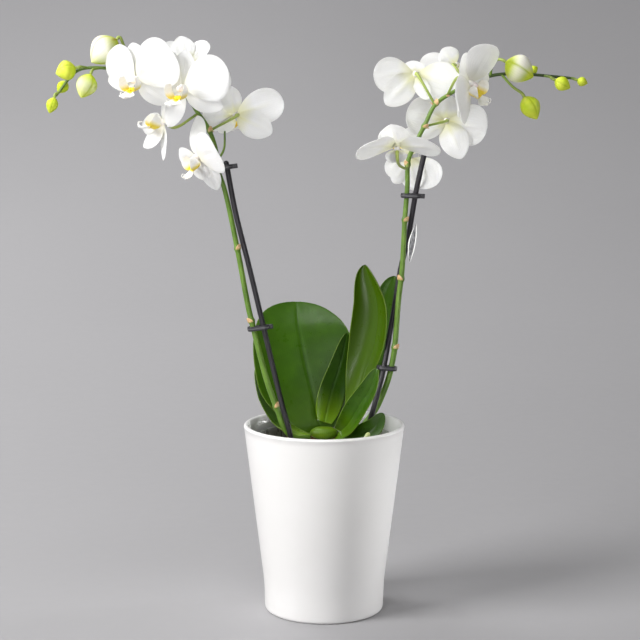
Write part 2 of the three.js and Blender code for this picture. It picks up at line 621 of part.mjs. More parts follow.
// A bud is an egg, fullest past its middle, that starts just past the end of its stalk.
function budSolid({ route, tip, width }) {
  const foot = vec(...route.at(-1));
  const along = vec(...tip).sub(foot);
  const length = along.length() - gap;
  along.normalize();
  const profile = [];
  for (let i = 0; i <= 6; i++) {
    const s = 0.5 - 0.5 * Math.cos(Math.PI * i / 6);
    profile.push(new THREE.Vector2(i % 6 ? width / 2 * Math.sin(Math.PI * s ** 0.85) ** 0.8 : 0, length * s));
  }
  const turn = new THREE.Quaternion().setFromUnitVectors(vec(0, 1, 0), along);
  const start = foot.addScaledVector(along, gap);
  return new THREE.LatheGeometry(profile, 7).applyQuaternion(turn).translate(start.x, start.y, start.z);
}

// ---- the whole plant -------------------------------------------------------------------------

function build() {
  place("pot", coverPot(), "ceramic");
  place("grow_pot", clearPot(), "clearPlastic");
  place("roots", roots(), "root");
  place("crown", crownSolid(), "crown");
  for (const name of Object.keys(stakes)) place(name, stakeTube(name), "stake");
  const holes = [roots(gap), ...Object.keys(stakes).map((name) => stakeTube(name, gap))];
  place("bark", barkFill(holes), "bark");
  for (const [name, leaf] of Object.entries(leaves)) {
    place(name, cut(leafBlade(leaf), [crownSolid(gap)]), "leaf");
  }
  for (const name of Object.keys(spikes)) place(name, spike(name), "stem");
  for (const [name, where] of Object.entries(clips)) place(name, clip(where), "clip");
  place("label", label(), "label");
  for (const [name, pose] of Object.entries(blooms)) {
    stand(place(name, bloomSolid(pose), "petal"), pose);
    stand(place(name.replace("bloom", "lip"), lipSolid(), "lip"), pose);
  }
  for (const [name, bud] of Object.entries(buds)) place(name, budSolid(bud), "bud");
}

build();

export default orchid;
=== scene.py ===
import math

import bpy
import numpy as np
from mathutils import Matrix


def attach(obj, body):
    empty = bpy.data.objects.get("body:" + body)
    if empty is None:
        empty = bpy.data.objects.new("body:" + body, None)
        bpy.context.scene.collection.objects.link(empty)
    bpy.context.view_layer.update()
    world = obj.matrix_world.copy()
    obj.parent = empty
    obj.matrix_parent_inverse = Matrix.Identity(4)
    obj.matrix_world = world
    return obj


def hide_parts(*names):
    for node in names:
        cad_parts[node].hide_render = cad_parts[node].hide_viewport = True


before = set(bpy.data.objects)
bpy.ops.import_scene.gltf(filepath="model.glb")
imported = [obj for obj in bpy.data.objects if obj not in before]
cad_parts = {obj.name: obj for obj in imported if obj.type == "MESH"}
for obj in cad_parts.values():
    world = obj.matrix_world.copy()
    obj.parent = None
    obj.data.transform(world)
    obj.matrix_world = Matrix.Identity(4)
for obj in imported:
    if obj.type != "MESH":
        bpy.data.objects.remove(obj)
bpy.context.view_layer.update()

mm = 0.001
rng = np.random.default_rng(11)
print("frame loaded:", len(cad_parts), "nodes")

# the camera, at the photograph's angle

cameraSetup = {"place": (-0.0036, -1.403, 0.4505), "tilt": 82.1, "lens": 92.25, "sensor": 36.0, "far": 30}

cameraData = bpy.data.cameras.new("camera")
cameraData.lens = cameraSetup["lens"]
cameraData.sensor_width = cameraSetup["sensor"]
cameraData.clip_end = cameraSetup["far"]
camera = bpy.data.objects.new("camera", cameraData)
camera.location = cameraSetup["place"]
camera.rotation_euler = (math.radians(cameraSetup["tilt"]), 0, 0)
bpy.context.scene.collection.objects.link(camera)
bpy.context.scene.camera = camera
bpy.context.scene.view_settings.view_transform = "Standard"


def colour(text, alpha=1.0):
    # a paint-chart colour such as "e8e4d0", as linear light
    share = np.array([int(text[k:k + 2], 16) for k in (0, 2, 4)]) / 255
    linear = np.where(share <= 0.04045, share / 12.92, ((share + 0.055) / 1.055) ** 2.4)
    return (*linear.tolist(), alpha)


# helpers for shader nodes

def addNode(tree, kind, inputs=None, **settings):
    node = tree.nodes.new(kind)
    for key, value in settings.items():
        setattr(node, key, value)
    for key, value in (inputs or {}).items():
        if isinstance(value, bpy.types.NodeSocket):
            tree.links.new(value, node.inputs[key])
        else:
            node.inputs[key].default_value = value
    return node


def newGroup(name, build, output, **inputs):
    # a node group: build gets its input sockets and returns the socket that leaves it
    group = bpy.data.node_groups.new(name, "ShaderNodeTree")
    for label, value in inputs.items():
        kind = {1: "Float", 3: "Vector", 4: "Color"}[np.size(value)]
        socket = group.interface.new_socket(name=label, in_out="INPUT", socket_type="NodeSocket" + kind)
        socket.default_value = value
    label, kind = output
    group.interface.new_socket(name=label, in_out="OUTPUT", socket_type="NodeSocket" + kind)
    given, result = group.nodes.new("NodeGroupInput"), group.nodes.new("NodeGroupOutput")
    group.links.new(build(group, given.outputs), result.inputs[label])
    return group


def ramp(tree, value, low, high, start=0.0, end=1.0):
    node = addNode(tree, "ShaderNodeMapRange", {
        "Value": value, "From Min": low, "From Max": high, "To Min": start, "To Max": end},
        interpolation_type="SMOOTHSTEP")
    return node.outputs["Result"]


def times(tree, first, second):
    return addNode(tree, "ShaderNodeMath", {0: first, 1: second}, operation="MULTIPLY").outputs[0]


def plus(tree, first, second):
    return addNode(tree, "ShaderNodeMath", {0: first, 1: second}, operation="ADD").outputs[0]


def tint(tree, share, below, above):
    node = addNode(tree, "ShaderNodeMix", {"Factor": share, "A": below, "B": above}, data_type="RGBA")
    return node.outputs["Result"]


def driftTone(group, given):
    # two tones that drift into one another with a soft noise
    noise = addNode(group, "ShaderNodeTexNoise", {
        "Vector": given["Place"], "Scale": given["Scale"], "Detail": 4, "Roughness": 0.55})
    share = addNode(group, "ShaderNodeMapRange", {
        "Value": noise.outputs["Fac"], "From Min": given["Low"], "From Max": given["High"]})
    return tint(group, share.outputs["Result"], given["First"], given["Second"])


def veinLine(group, given):
    # fine lines that run from base to tip: a ping-pong of the distance across, bent by noise
    noise = addNode(group, "ShaderNodeTexNoise", {"Vector": given["Place"], "Scale": 5, "Detail": 3})
    parts = addNode(group, "ShaderNodeSeparateXYZ", {"Vector": given["Place"]})
    bend = addNode(group, "ShaderNodeMath", {
        0: noise.outputs["Fac"], 1: given["Wander"], 2: parts.outputs["X"]}, operation="MULTIPLY_ADD")
    steps = times(group, bend.outputs[0], given["Count"])
    wave = addNode(group, "ShaderNodeMath", {0: steps, 1: 0.5}, operation="PINGPONG")
    return ramp(group, wave.outputs[0], 0, given["Width"], 1, 0)


def roundSpot(group, given):
    # small round spots, as far apart as Scale says, of uneven size
    cells = addNode(group, "ShaderNodeTexVoronoi", {"Vector": given["Place"], "Scale": given["Scale"]})
    return ramp(group, cells.outputs["Distance"], 0, given["Size"], 1, 0)


def unevenHeight(group, given):
    # a fine uneven height, stretched along one direction by the given vector
    stretched = addNode(group, "ShaderNodeVectorMath", {
        0: given["Place"], 1: given["Stretch"]}, operation="MULTIPLY")
    noise = addNode(group, "ShaderNodeTexNoise", {
        "Vector": stretched.outputs["Vector"], "Scale": given["Scale"], "Detail": 5, "Roughness": 0.6})
    return noise.outputs["Fac"]


toneDrift = newGroup("toneDrift", driftTone, ("Tone", "Color"), Place=(0, 0, 0), Scale=40, First=(0, 0, 0, 1),
                     Second=(1, 1, 1, 1), Low=0.35, High=0.65)
lengthwiseVeins = newGroup("lengthwiseVeins", veinLine, ("Line", "Float"), Place=(0, 0, 0), Count=16,
                           Wander=0.05, Width=0.3)
speckle = newGroup("speckle", roundSpot, ("Spot", "Float"), Place=(0, 0, 0), Scale=900, Size=0.3)
fineGrain = newGroup("fineGrain", unevenHeight, ("Height", "Float"), Place=(0, 0, 0), Stretch=(1, 1, 1),
                     Scale=300)


def newMaterial(name, **plain):
    material = bpy.data.materials.new(name)
    material.use_nodes = True
    tree = material.node_tree
    shader = tree.nodes["Principled BSDF"]
    for key, value in plain.items():
        shader.inputs[key.replace("_", " ")].default_value = value
    return material, tree, shader


def place(tree):
    return addNode(tree, "ShaderNodeTexCoord").outputs["Object"]


def uvPlace(tree):
    return addNode(tree, "ShaderNodeTexCoord").outputs["UV"]


def grouped(tree, group, **inputs):
    return addNode(tree, "ShaderNodeGroup", inputs, node_tree=group)


def mark(tree, name):
    return addNode(tree, "ShaderNodeAttribute", attribute_name=name).outputs["Fac"]


def drifting(tree, scale, first, second, **more):
    # two tones that drift into one another over the piece
    return grouped(tree, toneDrift, Place=place(tree), Scale=scale, First=colour(first), Second=colour(second),
                   **more).outputs["Tone"]


def grainHeight(tree, scale, stretch=(1, 1, 1)):
    return grouped(tree, fineGrain, Place=place(tree), Scale=scale, Stretch=stretch).outputs["Height"]


def veins(tree, count, wander, width):
    node = grouped(tree, lengthwiseVeins, Place=uvPlace(tree), Count=count, Wander=wander, Width=width)
    return node.outputs["Line"]


def spots(tree, scale, size):
    return grouped(tree, speckle, Place=place(tree), Scale=scale, Size=size).outputs["Spot"]


def along(tree):
    # how far along the piece's own length, from base to tip
    return addNode(tree, "ShaderNodeSeparateXYZ", {"Vector": uvPlace(tree)}).outputs["Y"]


def acrossMiddle(tree):
    # distance from the middle line: 0 on it, 1 at both edges
    u = addNode(tree, "ShaderNodeSeparateXYZ", {"Vector": uvPlace(tree)}).outputs["X"]
    twice = addNode(tree, "ShaderNodeMath", {0: u, 1: 2.0, 2: -1.0}, operation="MULTIPLY_ADD")
    return addNode(tree, "ShaderNodeMath", {0: twice.outputs[0]}, operation="ABSOLUTE").outputs[0]


def layered(tree, tone, *layers):
    # more tones laid over the first, each with its own share
    for share, over in layers:
        tone = tint(tree, share, tone, colour(over))
    return tone


def uneven(tree, grain, smoothest, roughest, low=0.3, high=0.7):
    # a roughness that follows the grain
    return ramp(tree, grain, low, high, smoothest, roughest)


def bump(tree, shader, height, strength, distance):
    node = addNode(tree, "ShaderNodeBump", {"Height": height, "Strength": strength, "Distance": distance})
    tree.links.new(node.outputs["Normal"], shader.inputs["Normal"])


def paint(tree, shader, tone, rough):
    tree.links.new(tone, shader.inputs["Base Color"])
    tree.links.new(rough, shader.inputs["Roughness"])


def grainyMaterial(name, drift, tones, grain, rough, bumps, layers=None, **plain):
    # drifting tones with any layers over them, and one grain for both the roughness and the bump
    material, tree, shader = newMaterial(name, **plain)
    height = grainHeight(tree, *grain)
    tone = layered(tree, drifting(tree, drift, *tones), *(layers(tree) if layers else ()))
    paint(tree, shader, tone, uneven(tree, height, *rough))
    bump(tree, shader, height, *bumps)
    return material


# helpers for shapes, all in millimetres

def unit(v):
    return v / np.maximum(np.linalg.norm(v, axis=-1, keepdims=True), 1e-9)


def mix(a, b, share):
    return a + (b - a) * share


def circle(count):
    # evenly spaced angles, once round
    return np.linspace(0, 2 * np.pi, count, endpoint=False)


def smoothCurve(points):
    # a centripetal Catmull-Rom curve through the points, read by its length from 0 to 1
    p = np.array(points, float)
    p = np.vstack([2 * p[0] - p[1], p, 2 * p[-1] - p[-2]])
    a, b, c, d = p[:-3], p[1:-2], p[2:-1], p[3:]
    k0, k1, k2 = (np.sqrt(np.linalg.norm(v, axis=1, keepdims=True)) for v in (b - a, c - b, d - c))
    leave = ((b - a) / k0 - (c - a) / (k0 + k1) + (c - b) / k1) * k1
    arrive = ((c - b) / k1 - (d - b) / (k1 + k2) + (d - c) / k2) * k1
    w = np.linspace(0, 1, 48, endpoint=False)[None, :, None]
    fine = (b[:, None] + leave[:, None] * w + (3 * (c - b) - 2 * leave - arrive)[:, None] * w ** 2
            + (2 * (b - c) + leave + arrive)[:, None] * w ** 3)
    fine = np.vstack([fine.reshape(-1, 3), c[-1:]])
    reach = np.concatenate([[0], np.cumsum(np.linalg.norm(np.diff(fine, axis=0), axis=1))])

    def at(s):
        return np.stack([np.interp(np.asarray(s) * reach[-1], reach, fine[:, i]) for i in range(3)], axis=-1)

    at.length = reach[-1]
    return at


def heading(curve, s):
    # the way the curve runs at s
    return unit(curve(np.minimum(np.asarray(s) + 0.004, 1)) - curve(np.maximum(np.asarray(s) - 0.004, 0)))


def shell(rings, material=0, u=None, v=None, loop=False, smooth=True, **marks):
    # rings (rows, around, 3) joined by quads; the ends are closed by fans unless the rows loop round
    rows, around = rings.shape[:2]
    u = np.linspace(0, 1, around + 1) if u is None else u
    v = np.linspace(0, 1, rows) if v is None else v
    starts = np.arange(rows if loop else rows - 1)
    i, j = (k.ravel() for k in np.meshgrid(starts, np.arange(around), indexing="ij"))
    nextI, nextJ = (i + 1) % rows, (j + 1) % around
    quads = np.stack([i * around + j, nextI * around + j, nextI * around + nextJ, i * around + nextJ], axis=1)
    vNext = np.append(v, 1.0)[i + 1] if loop else v[nextI]
    quadUv = np.stack([np.stack(pair, axis=1) for pair in (
        (u[j], v[i]), (u[j], vNext), (u[j + 1], vNext), (u[j + 1], v[i]))], axis=1)
    points = rings.reshape(-1, 3)
    values = {name: np.broadcast_to(value, (rows, around)).ravel() for name, value in marks.items()}
    tris, triUv = np.zeros((0, 3), int), np.zeros((0, 3, 2))
    if not loop:
        k = np.arange(around)
        top = (rows - 1) * around
        middle = 0.5 * (u[k] + u[k + 1])
        beside = (k + 1) % around
        tris = np.vstack([np.stack([np.full(around, rows * around), k, beside], axis=1),
                          np.stack([np.full(around, rows * around + 1), top + beside, top + k], axis=1)])
        triUv = np.concatenate([
            np.stack([np.stack([side, np.full(around, end)], axis=1) for side in sides], axis=1)
            for end, sides in ((v[0], (middle, u[k], u[k + 1])), (v[-1], (middle, u[k + 1], u[k])))])
        points = np.vstack([points, rings[0].mean(axis=0), rings[-1].mean(axis=0)])
        values = {name: np.append(value, [value[:around].mean(), value[-around:].mean()])
                  for name, value in values.items()}
    a, b, c, d = (points[quads[:, k]] for k in range(4))
    volume = np.sum(a * np.cross(b, c)) + np.sum(a * np.cross(c, d))
    a, b, c = (points[tris[:, k]] for k in range(3))
    if volume + np.sum(a * np.cross(b, c)) < 0:
        quads, quadUv, tris, triUv = quads[:, ::-1], quadUv[:, ::-1], tris[:, ::-1], triUv[:, ::-1]
    return {"points": points, "quads": quads, "quadUv": quadUv, "tris": tris, "triUv": triUv,
            "marks": values, "material": material, "smooth": smooth}


def blade(surface, rows, columns, thickness, material=0, edge=0.8, **marks):
    # a thin piece: half its thickness times sin(theta) ** edge stands on each side of its middle surface
    # at t = cos(theta), and theta runs once round the piece, so its edges are round and closed
    s = 0.5 - 0.5 * np.cos(np.pi * np.linspace(0, 1, rows + 1))
    theta = np.linspace(0, np.pi, columns + 1)
    t = np.cos(theta)
    middle = surface(*np.meshgrid(s, t, indexing="ij"))
    normal = unit(np.cross(np.gradient(middle, axis=0), np.gradient(middle, axis=1)))
    ends = np.maximum((1 - np.abs(2 * s - 1) ** 6) ** 0.5, 0.2)[:, None]
    half = (thickness / 2 * np.maximum(np.sin(theta), 0) ** edge * ends)[..., None]
    rings = np.concatenate([middle + normal * half, (middle - normal * half)[:, -2:0:-1]], axis=1)
    u = (1 - np.concatenate([t, t[-2::-1]])) / 2
    under = np.concatenate([np.zeros(columns + 1), np.ones(columns - 1)])
    under[[0, columns]] = 0.5
    return shell(rings, material, u=u, v=s, under=under, **marks)


def shoot(path, radius, rows, around, material=0, **marks):
    # a round shoot: circles of radius(s, turn) across the path, closed by a dome at both ends
    curve = path if callable(path) else smoothCurve(path)
    tip = float(np.max(radius(np.array([[0.5]]), np.array([[0.0]])))) / curve.length
    dome = tip * (1 - np.cos(np.linspace(0, np.pi / 2, 5)))[1:-1] if tip < 0.2 else np.array([0.02])
    body = np.linspace(tip if tip < 0.2 else 0.04, 1 - min(tip, 0.04), rows)
    s = np.sort(np.clip(np.concatenate([[0], dome, body, 1 - dome[::-1], [1]]), 0, 1))
    centre, ahead = curve(s), heading(curve, s)
    side = np.eye(3)[np.argmin(np.abs(ahead).max(axis=0))]
    across = unit(np.cross(ahead, side))
    up = np.cross(ahead, across)
    turn = circle(around)
    near = np.minimum(np.minimum(s, 1 - s) / max(min(tip, 0.2), 1e-6), 1)
    cap = np.maximum(np.sqrt(1 - (1 - near) ** 2), 0.05)[:, None]
    r = (np.broadcast_to(radius(s[:, None], turn[None, :]), (len(s), around)) * cap)[..., None]
    turn = turn[None, :, None]
    rings = centre[:, None] + r * (across[:, None] * np.cos(turn) + up[:, None] * np.sin(turn))
    given = {name: (value(s)[:, None] if callable(value) else value) for name, value in marks.items()}
    return shell(rings, material, v=s, **given)


def turned(profile, around, sway=None, **marks):
    # a turned piece: the profile's (radius, height) points carried round the upright axis
    profile = np.array(profile, float)
    turn = circle(around)
    r = profile[:, :1] if sway is None else sway(profile[:, :1], profile[:, 1:], turn[None, :])
    r = np.broadcast_to(r, (len(profile), around))
    z = np.broadcast_to(profile[:, 1:], (len(profile), around))
    return shell(np.stack([r * np.cos(turn), r * np.sin(turn), z], axis=-1), **marks)


def egg(centre, radii, rows, around, **marks):
    # an ellipsoid: x, y and z radii times the circle of latitude at each row
    lat = np.linspace(0.04, np.pi - 0.04, rows)[:, None]
    turn = circle(around)[None, :]
    ring = np.stack([np.sin(lat) * np.cos(turn), np.sin(lat) * np.sin(turn), np.cos(lat) + 0 * turn], axis=-1)
    return shell(np.array(centre) + ring * np.array(radii), **marks)


def moved(piece, move):
    return {**piece, "points": move(piece["points"])}


def pieceName(node):
    # "leaf_a_round" becomes "leafARound"
    first, *rest = node.split("_")
    return first + "".join(word.title() for word in rest)


def makePiece(name, shells, materials, nodes):
    # joins shells into one mesh, with their UV map, marks and materials, and gives it its place in the part
    starts = np.cumsum([0] + [len(part["points"]) for part in shells])
    points = np.vstack([part["points"] for part in shells]) * mm
    quads = np.vstack([part["quads"] + start for part, start in zip(shells, starts)])
    tris = np.vstack([part["tris"] + start for part, start in zip(shells, starts)])
    corners = np.concatenate([quads.ravel(), tris.ravel()])
    uv = np.concatenate([np.concatenate([part["quadUv"].reshape(-1, 2) for part in shells]),
                         np.concatenate([part["triUv"].reshape(-1, 2) for part in shells])])
    faceStart = np.concatenate([np.arange(len(quads)) * 4, len(quads) * 4 + np.arange(len(tris)) * 3])
    whose = [np.concatenate([np.full(len(part[kind]), part[key]) for part in shells])
             for key in ("material", "smooth") for kind in ("quads", "tris")]
    mesh = bpy.data.meshes.new(name)
    mesh.vertices.add(len(points))
    mesh.vertices.foreach_set("co", points.ravel())
    mesh.loops.add(len(corners))
    mesh.loops.foreach_set("vertex_index", corners)
    mesh.polygons.add(len(faceStart))
    mesh.polygons.foreach_set("loop_start", faceStart)
    mesh.polygons.foreach_set("material_index", np.concatenate(whose[:2]))
    mesh.polygons.foreach_set("use_smooth", np.concatenate(whose[2:]).astype(bool))
    mesh.uv_layers.new(name="UVMap").data.foreach_set("uv", uv.ravel())
    for label in sorted({key for part in shells for key in part["marks"]}):
        values = np.concatenate([part["marks"].get(label, np.zeros(len(part["points"]))) for part in shells])
        mesh.attributes.new(label, "FLOAT", "POINT").data.foreach_set("value", values)
    for material in materials:
        mesh.materials.append(material)
    mesh.update(calc_edges=True)
    mesh.validate()
    piece = bpy.data.objects.new(name, mesh)
    bpy.context.scene.collection.objects.link(piece)
    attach(piece, "root")
    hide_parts(*nodes)


# the white cover pot

# the inside of the pot is painted a little whiter than the outside: painted light for the inner wall, which
# lies in shadow
pot = {"height": 165, "rim": 70, "foot": 52, "shoulder": 25, "wall": 4.4, "floor": 8, "edge": 3, "around": 176,
       "glaze": ("e7e6e4", "ebeae9"), "insideLightening": "fbfbfa"}


def potRadius(z):
    # nearly upright at the foot, then a straight flare to the rim, with a soft bend between them
    slow, fast = 0.8 / pot["shoulder"], (pot["rim"] - pot["foot"] - 0.8) / (pot["height"] - pot["shoulder"])
    bend = 2.5
    return pot["foot"] + slow * z + (fast - slow) * bend * np.logaddexp(0, (z - pot["shoulder"]) / bend)


def glazeMaterial():
    material, tree, shader = newMaterial("whiteGlaze", Coat_Weight=0.25, Coat_Roughness=0.12,
                                         Specular_IOR_Level=0.5)
    # the whiter inside is painted light, for the inner wall in shadow
    tone = layered(tree, drifting(tree, 9.0, *pot["glaze"]), (mark(tree, "inside"), pot["insideLightening"]))
    grain = grainHeight(tree, 55.0)
    pits = spots(tree, 260.0, 0.12)
    paint(tree, shader, tone, uneven(tree, grain, 0.3, 0.38))
    bump(tree, shader, plus(tree, grain, times(tree, pits, -0.3)), 0.12, 0.0006)
    return material


def coverPot():
    half = pot["wall"] / 2
    z = np.concatenate([np.linspace(pot["edge"], 42, 18), np.linspace(48, pot["height"] - half, 24)])
    foot = [(0.5, 1.4), (20, 1.4), (42, 1.4), (43.6, 1.1), (44.4, 0.35), (45.4, 0)]
    curl = np.linspace(0, np.pi / 2, 7)
    foot += [(pot["foot"] - pot["edge"] + 3.1 * np.sin(a), 3 - 3 * np.cos(a)) for a in curl[:-1]]
    outside = list(zip(potRadius(z), z))
    rim = [(pot["rim"] - half + half * np.cos(a), pot["height"] - half + half * np.sin(a))
           for a in np.linspace(0.12, np.pi - 0.12, 13)]
    floor, corner = pot["floor"], potRadius(0) - pot["wall"]
    z = np.linspace(pot["height"] - half, floor + 3, 26)
    inside = list(zip(potRadius(z) - pot["wall"], z))
    inside += [(corner - 1, floor + 0.8), (corner - 3, floor), (20, floor), (0.5, floor)]
    # the inside, after the eighth point of the rim, is painted a little whiter: painted light for the inner
    # wall, which lies in shadow
    profile = foot + outside + rim + inside
    shade = np.arange(len(profile)) >= len(foot + outside) + 8
    wall = turned(profile, pot["around"], inside=shade[:, None].astype(float))
    makePiece("coverPot", [wall], [glazeMaterial()], ["pot"])


coverPot()
print("cover pot done")

# the clear grow pot

growPot = {"base": 8.4, "height": 154, "rim": 60.5, "foot": 45, "wall": 1.2, "lip": 2.2, "flutes": 18,
           "around": 144, "tones": ("b9bdb4", "a4a99c")}


def growRadius(z):
    # a straight flare from the foot to just inside the lip
    reach = growPot["rim"] - growPot["lip"] - growPot["foot"]
    return growPot["foot"] + reach * (z - growPot["base"]) / (growPot["height"] - growPot["base"])


def clearPlasticMaterial():
    return grainyMaterial("clearPlastic", 30.0, growPot["tones"], (240.0, (1, 1, 0.2)), (0.22, 0.4),
                          (0.15, 0.0003), IOR=1.45, Transmission_Weight=0.55, Specular_IOR_Level=0.5)


def clearPot():
    base, height, wall = growPot["base"], growPot["height"], growPot["wall"]
    rim = growPot["rim"]
    z = np.linspace(base + 1.5, height - 3.2, 24)
    outside = [(0.5, base), (30, base), (growPot["foot"] - 1.2, base), (growPot["foot"] - 0.3, base + 0.5)]
    outside += list(zip(growRadius(z), z))
    lip = [(growRadius(height) - 0.1, height - 2.7), (rim - 0.5, height - 2.1), (rim - 0.05, height - 1.6),
           (rim, height - 0.9), (rim - 0.2, height - 0.3), (rim - 0.8, height), (rim - 2.8, height),
           (rim - 3.3, height - 0.3)]
    inside = list(zip(growRadius(z[::-1]) - wall, z[::-1]))
    inside += [(growPot["foot"] - wall - 1, base + wall), (20, base + wall), (0.5, base + wall)]

    def flutes(r, z, turn):
        # shallow flutes down the wall that fade out under the lip
        fade = np.clip((height - 8 - z) / 12, 0, 1) * np.clip((z - base - 3) / 10, 0, 1) * (r > 40)
        return r + 0.18 * fade * np.cos(growPot["flutes"] * turn)

    body = turned(outside + lip + inside, growPot["around"], sway=flutes)
    makePiece("clearGrowPot", [body], [clearPlasticMaterial()], ["grow_pot"])


clearPot()

# the bark that fills it

bark = {"height": 141.5, "around": 72, "chips": 190, "length": (7, 16), "spread": 47,
        "tones": ("2e1f16", "7c5a3e"), "fleck": "a58461"}


def barkMaterial():
    def flecks(tree):
        return [(times(tree, spots(tree, 420.0, 0.4), 0.35), bark["fleck"])]

    return grainyMaterial("pineBark", 140.0, bark["tones"], (500.0, (1, 1, 3)), (0.75, 0.98, 0.2, 0.8),
                          (0.7, 0.0008), flecks, Specular_IOR_Level=0.25)


def barkFill():
    bottom = growPot["base"] + growPot["wall"] + 0.4
    z = np.linspace(bottom, bark["height"], 14)
    profile = [(0.5, bottom)] + list(zip(growRadius(z) - growPot["wall"] - 0.5, z))
    profile += [(30, bark["height"] + 0.6), (0.5, bark["height"] + 1)]
    body = turned(profile, bark["around"])
    # every chip is a rough block: six-sided rings whose corners are shaken, turned at random
    count = bark["chips"]
    corner = circle(6)
    rings = np.array([(0.55, -1), (1, -0.6), (0.95, 0.55), (0.5, 1)])
    block = np.stack([rings[:, :1] * np.cos(corner), rings[:, :1] * np.sin(corner), rings[:, 1:] + 0 * corner],
                     axis=-1)
    size = rng.uniform(*bark["length"], (count, 1)) / 2 * np.array([1, 0.62, 0.4])
    size = size * rng.uniform(0.8, 1.2, (count, 3))
    shaken = block[None] * (1 + rng.uniform(-0.2, 0.2, (count, 4, 6, 1))) * size[:, None, None]
    spin, lean, nod = (rng.uniform(-k, k, count) for k in (np.pi, 0.6, 0.6))
    reach = bark["spread"] * np.sqrt(np.linspace(0.002, 1, count))
    golden = np.arange(count) * 2.399963
    x, y, z = np.moveaxis(shaken, -1, 0)
    lean, nod, spin = (k[:, None, None] for k in (lean, nod, spin))
    y, z = y * np.cos(lean) - z * np.sin(lean), y * np.sin(lean) + z * np.cos(lean)
    x, z = x * np.cos(nod) + z * np.sin(nod), z * np.cos(nod) - x * np.sin(nod)
    x, y = x * np.cos(spin) - y * np.sin(spin), x * np.sin(spin) + y * np.cos(spin)
    chips = np.stack([x + (reach * np.cos(golden))[:, None, None], y + (reach * np.sin(golden))[:, None, None],
                      z + (bark["height"] + rng.uniform(0.2, 3.6, count))[:, None, None]], axis=-1)
    blocks = [shell(chip, smooth=False) for chip in chips]
    makePiece("barkChips", [body] + blocks, [barkMaterial()], ["bark"])


barkFill()

# roots and crown

roots = {
    "radius": 2.6, "hubAt": (0, 0, 147.6), "hubRadii": (7, 6, 2.4),
    "tones": ("9fa78a", "ced2c2"), "tipTone": "b6c07e",
    "routes": [
        [[0, 0, 148], [-20, 0, 148], [-38, 1, 149.5], [-48, 1, 147], [-50, 1, 132]],
        [[0, 0, 148], [14, -22, 150], [29, -36, 154], [36, -39, 161], [38, -39, 165]],
        [[0, 0, 148], [20, 14, 147.5], [33, 24, 149], [39, 29, 147], [40, 30, 132]],
        [[0, 0, 148], [-8, -18, 149], [-14, -36, 150], [-16, -45, 147], [-16, -46, 130]],
    ],
}


def rootMaterial():
    def tips(tree):
        return [(ramp(tree, along(tree), 0.86, 1.0), roots["tipTone"])]

    return grainyMaterial("aerialRoot", 160.0, roots["tones"], (700.0,), (0.6, 0.8), (0.3, 0.0004), tips,
                          Specular_IOR_Level=0.3)


def aerialRoots():
    def thin(s, turn):
        # a quarter thinner at the tip, and slightly lumpy
        lumps = 1 + 0.05 * np.sin(31 * s + 2 * turn) + 0.04 * np.sin(17 * s - turn)
        return roots["radius"] * (1 - 0.25 * s) * lumps

    tubes = [shoot(route, thin, 60, 20) for route in roots["routes"]]
    hub = egg(roots["hubAt"], roots["hubRadii"], 10, 24)
    makePiece("aerialRoots", tubes + [hub], [rootMaterial()], ["roots"])


crown = {"base": 150.8, "height": 162, "halfWidth": 12, "halfDepth": 8,
         "tones": ("587c0c", "74981b"), "lineTone": "7c9a22"}


def crownMaterial():
    material, tree, shader = newMaterial("crownGreen", Specular_IOR_Level=0.4, Subsurface_Weight=0.1,
                                         Subsurface_Scale=0.002)
    lines = veins(tree, 40.0, 0.02, 0.3)
    tone = layered(tree, drifting(tree, 70.0, *crown["tones"]), (times(tree, lines, 0.3), crown["lineTone"]))
    paint(tree, shader, tone, ramp(tree, lines, 0, 1, 0.38, 0.5))
    bump(tree, shader, lines, 0.2, 0.0003)
    return material


def crownStub():
    # an egg, a little fuller to left and right, with one faint ring where an old leaf was
    middle, tall = (crown["base"] + crown["height"]) / 2, (crown["height"] - crown["base"]) / 2
    lat = np.linspace(0.05, np.pi - 0.05, 40)[:, None]
    turn = circle(96)[None, :]
    ring = np.exp(-((np.cos(lat) - 0.25 * np.cos(turn)) / 0.1) ** 2)
    fold = 1 + 0.035 * np.cos(2 * turn) * np.sin(lat) ** 2 - 0.02 * ring
    body = np.stack([crown["halfWidth"] * fold * np.sin(lat) ** 0.8 * np.cos(turn),
                     crown["halfDepth"] * fold * np.sin(lat) ** 0.8 * np.sin(turn),
                     middle + tall * np.cos(lat) + 0 * turn], axis=-1)
    makePiece("crownStub", [shell(body)], [crownMaterial()], ["crown"])


aerialRoots()
crownStub()
print("grow pot, bark, roots and crown done")
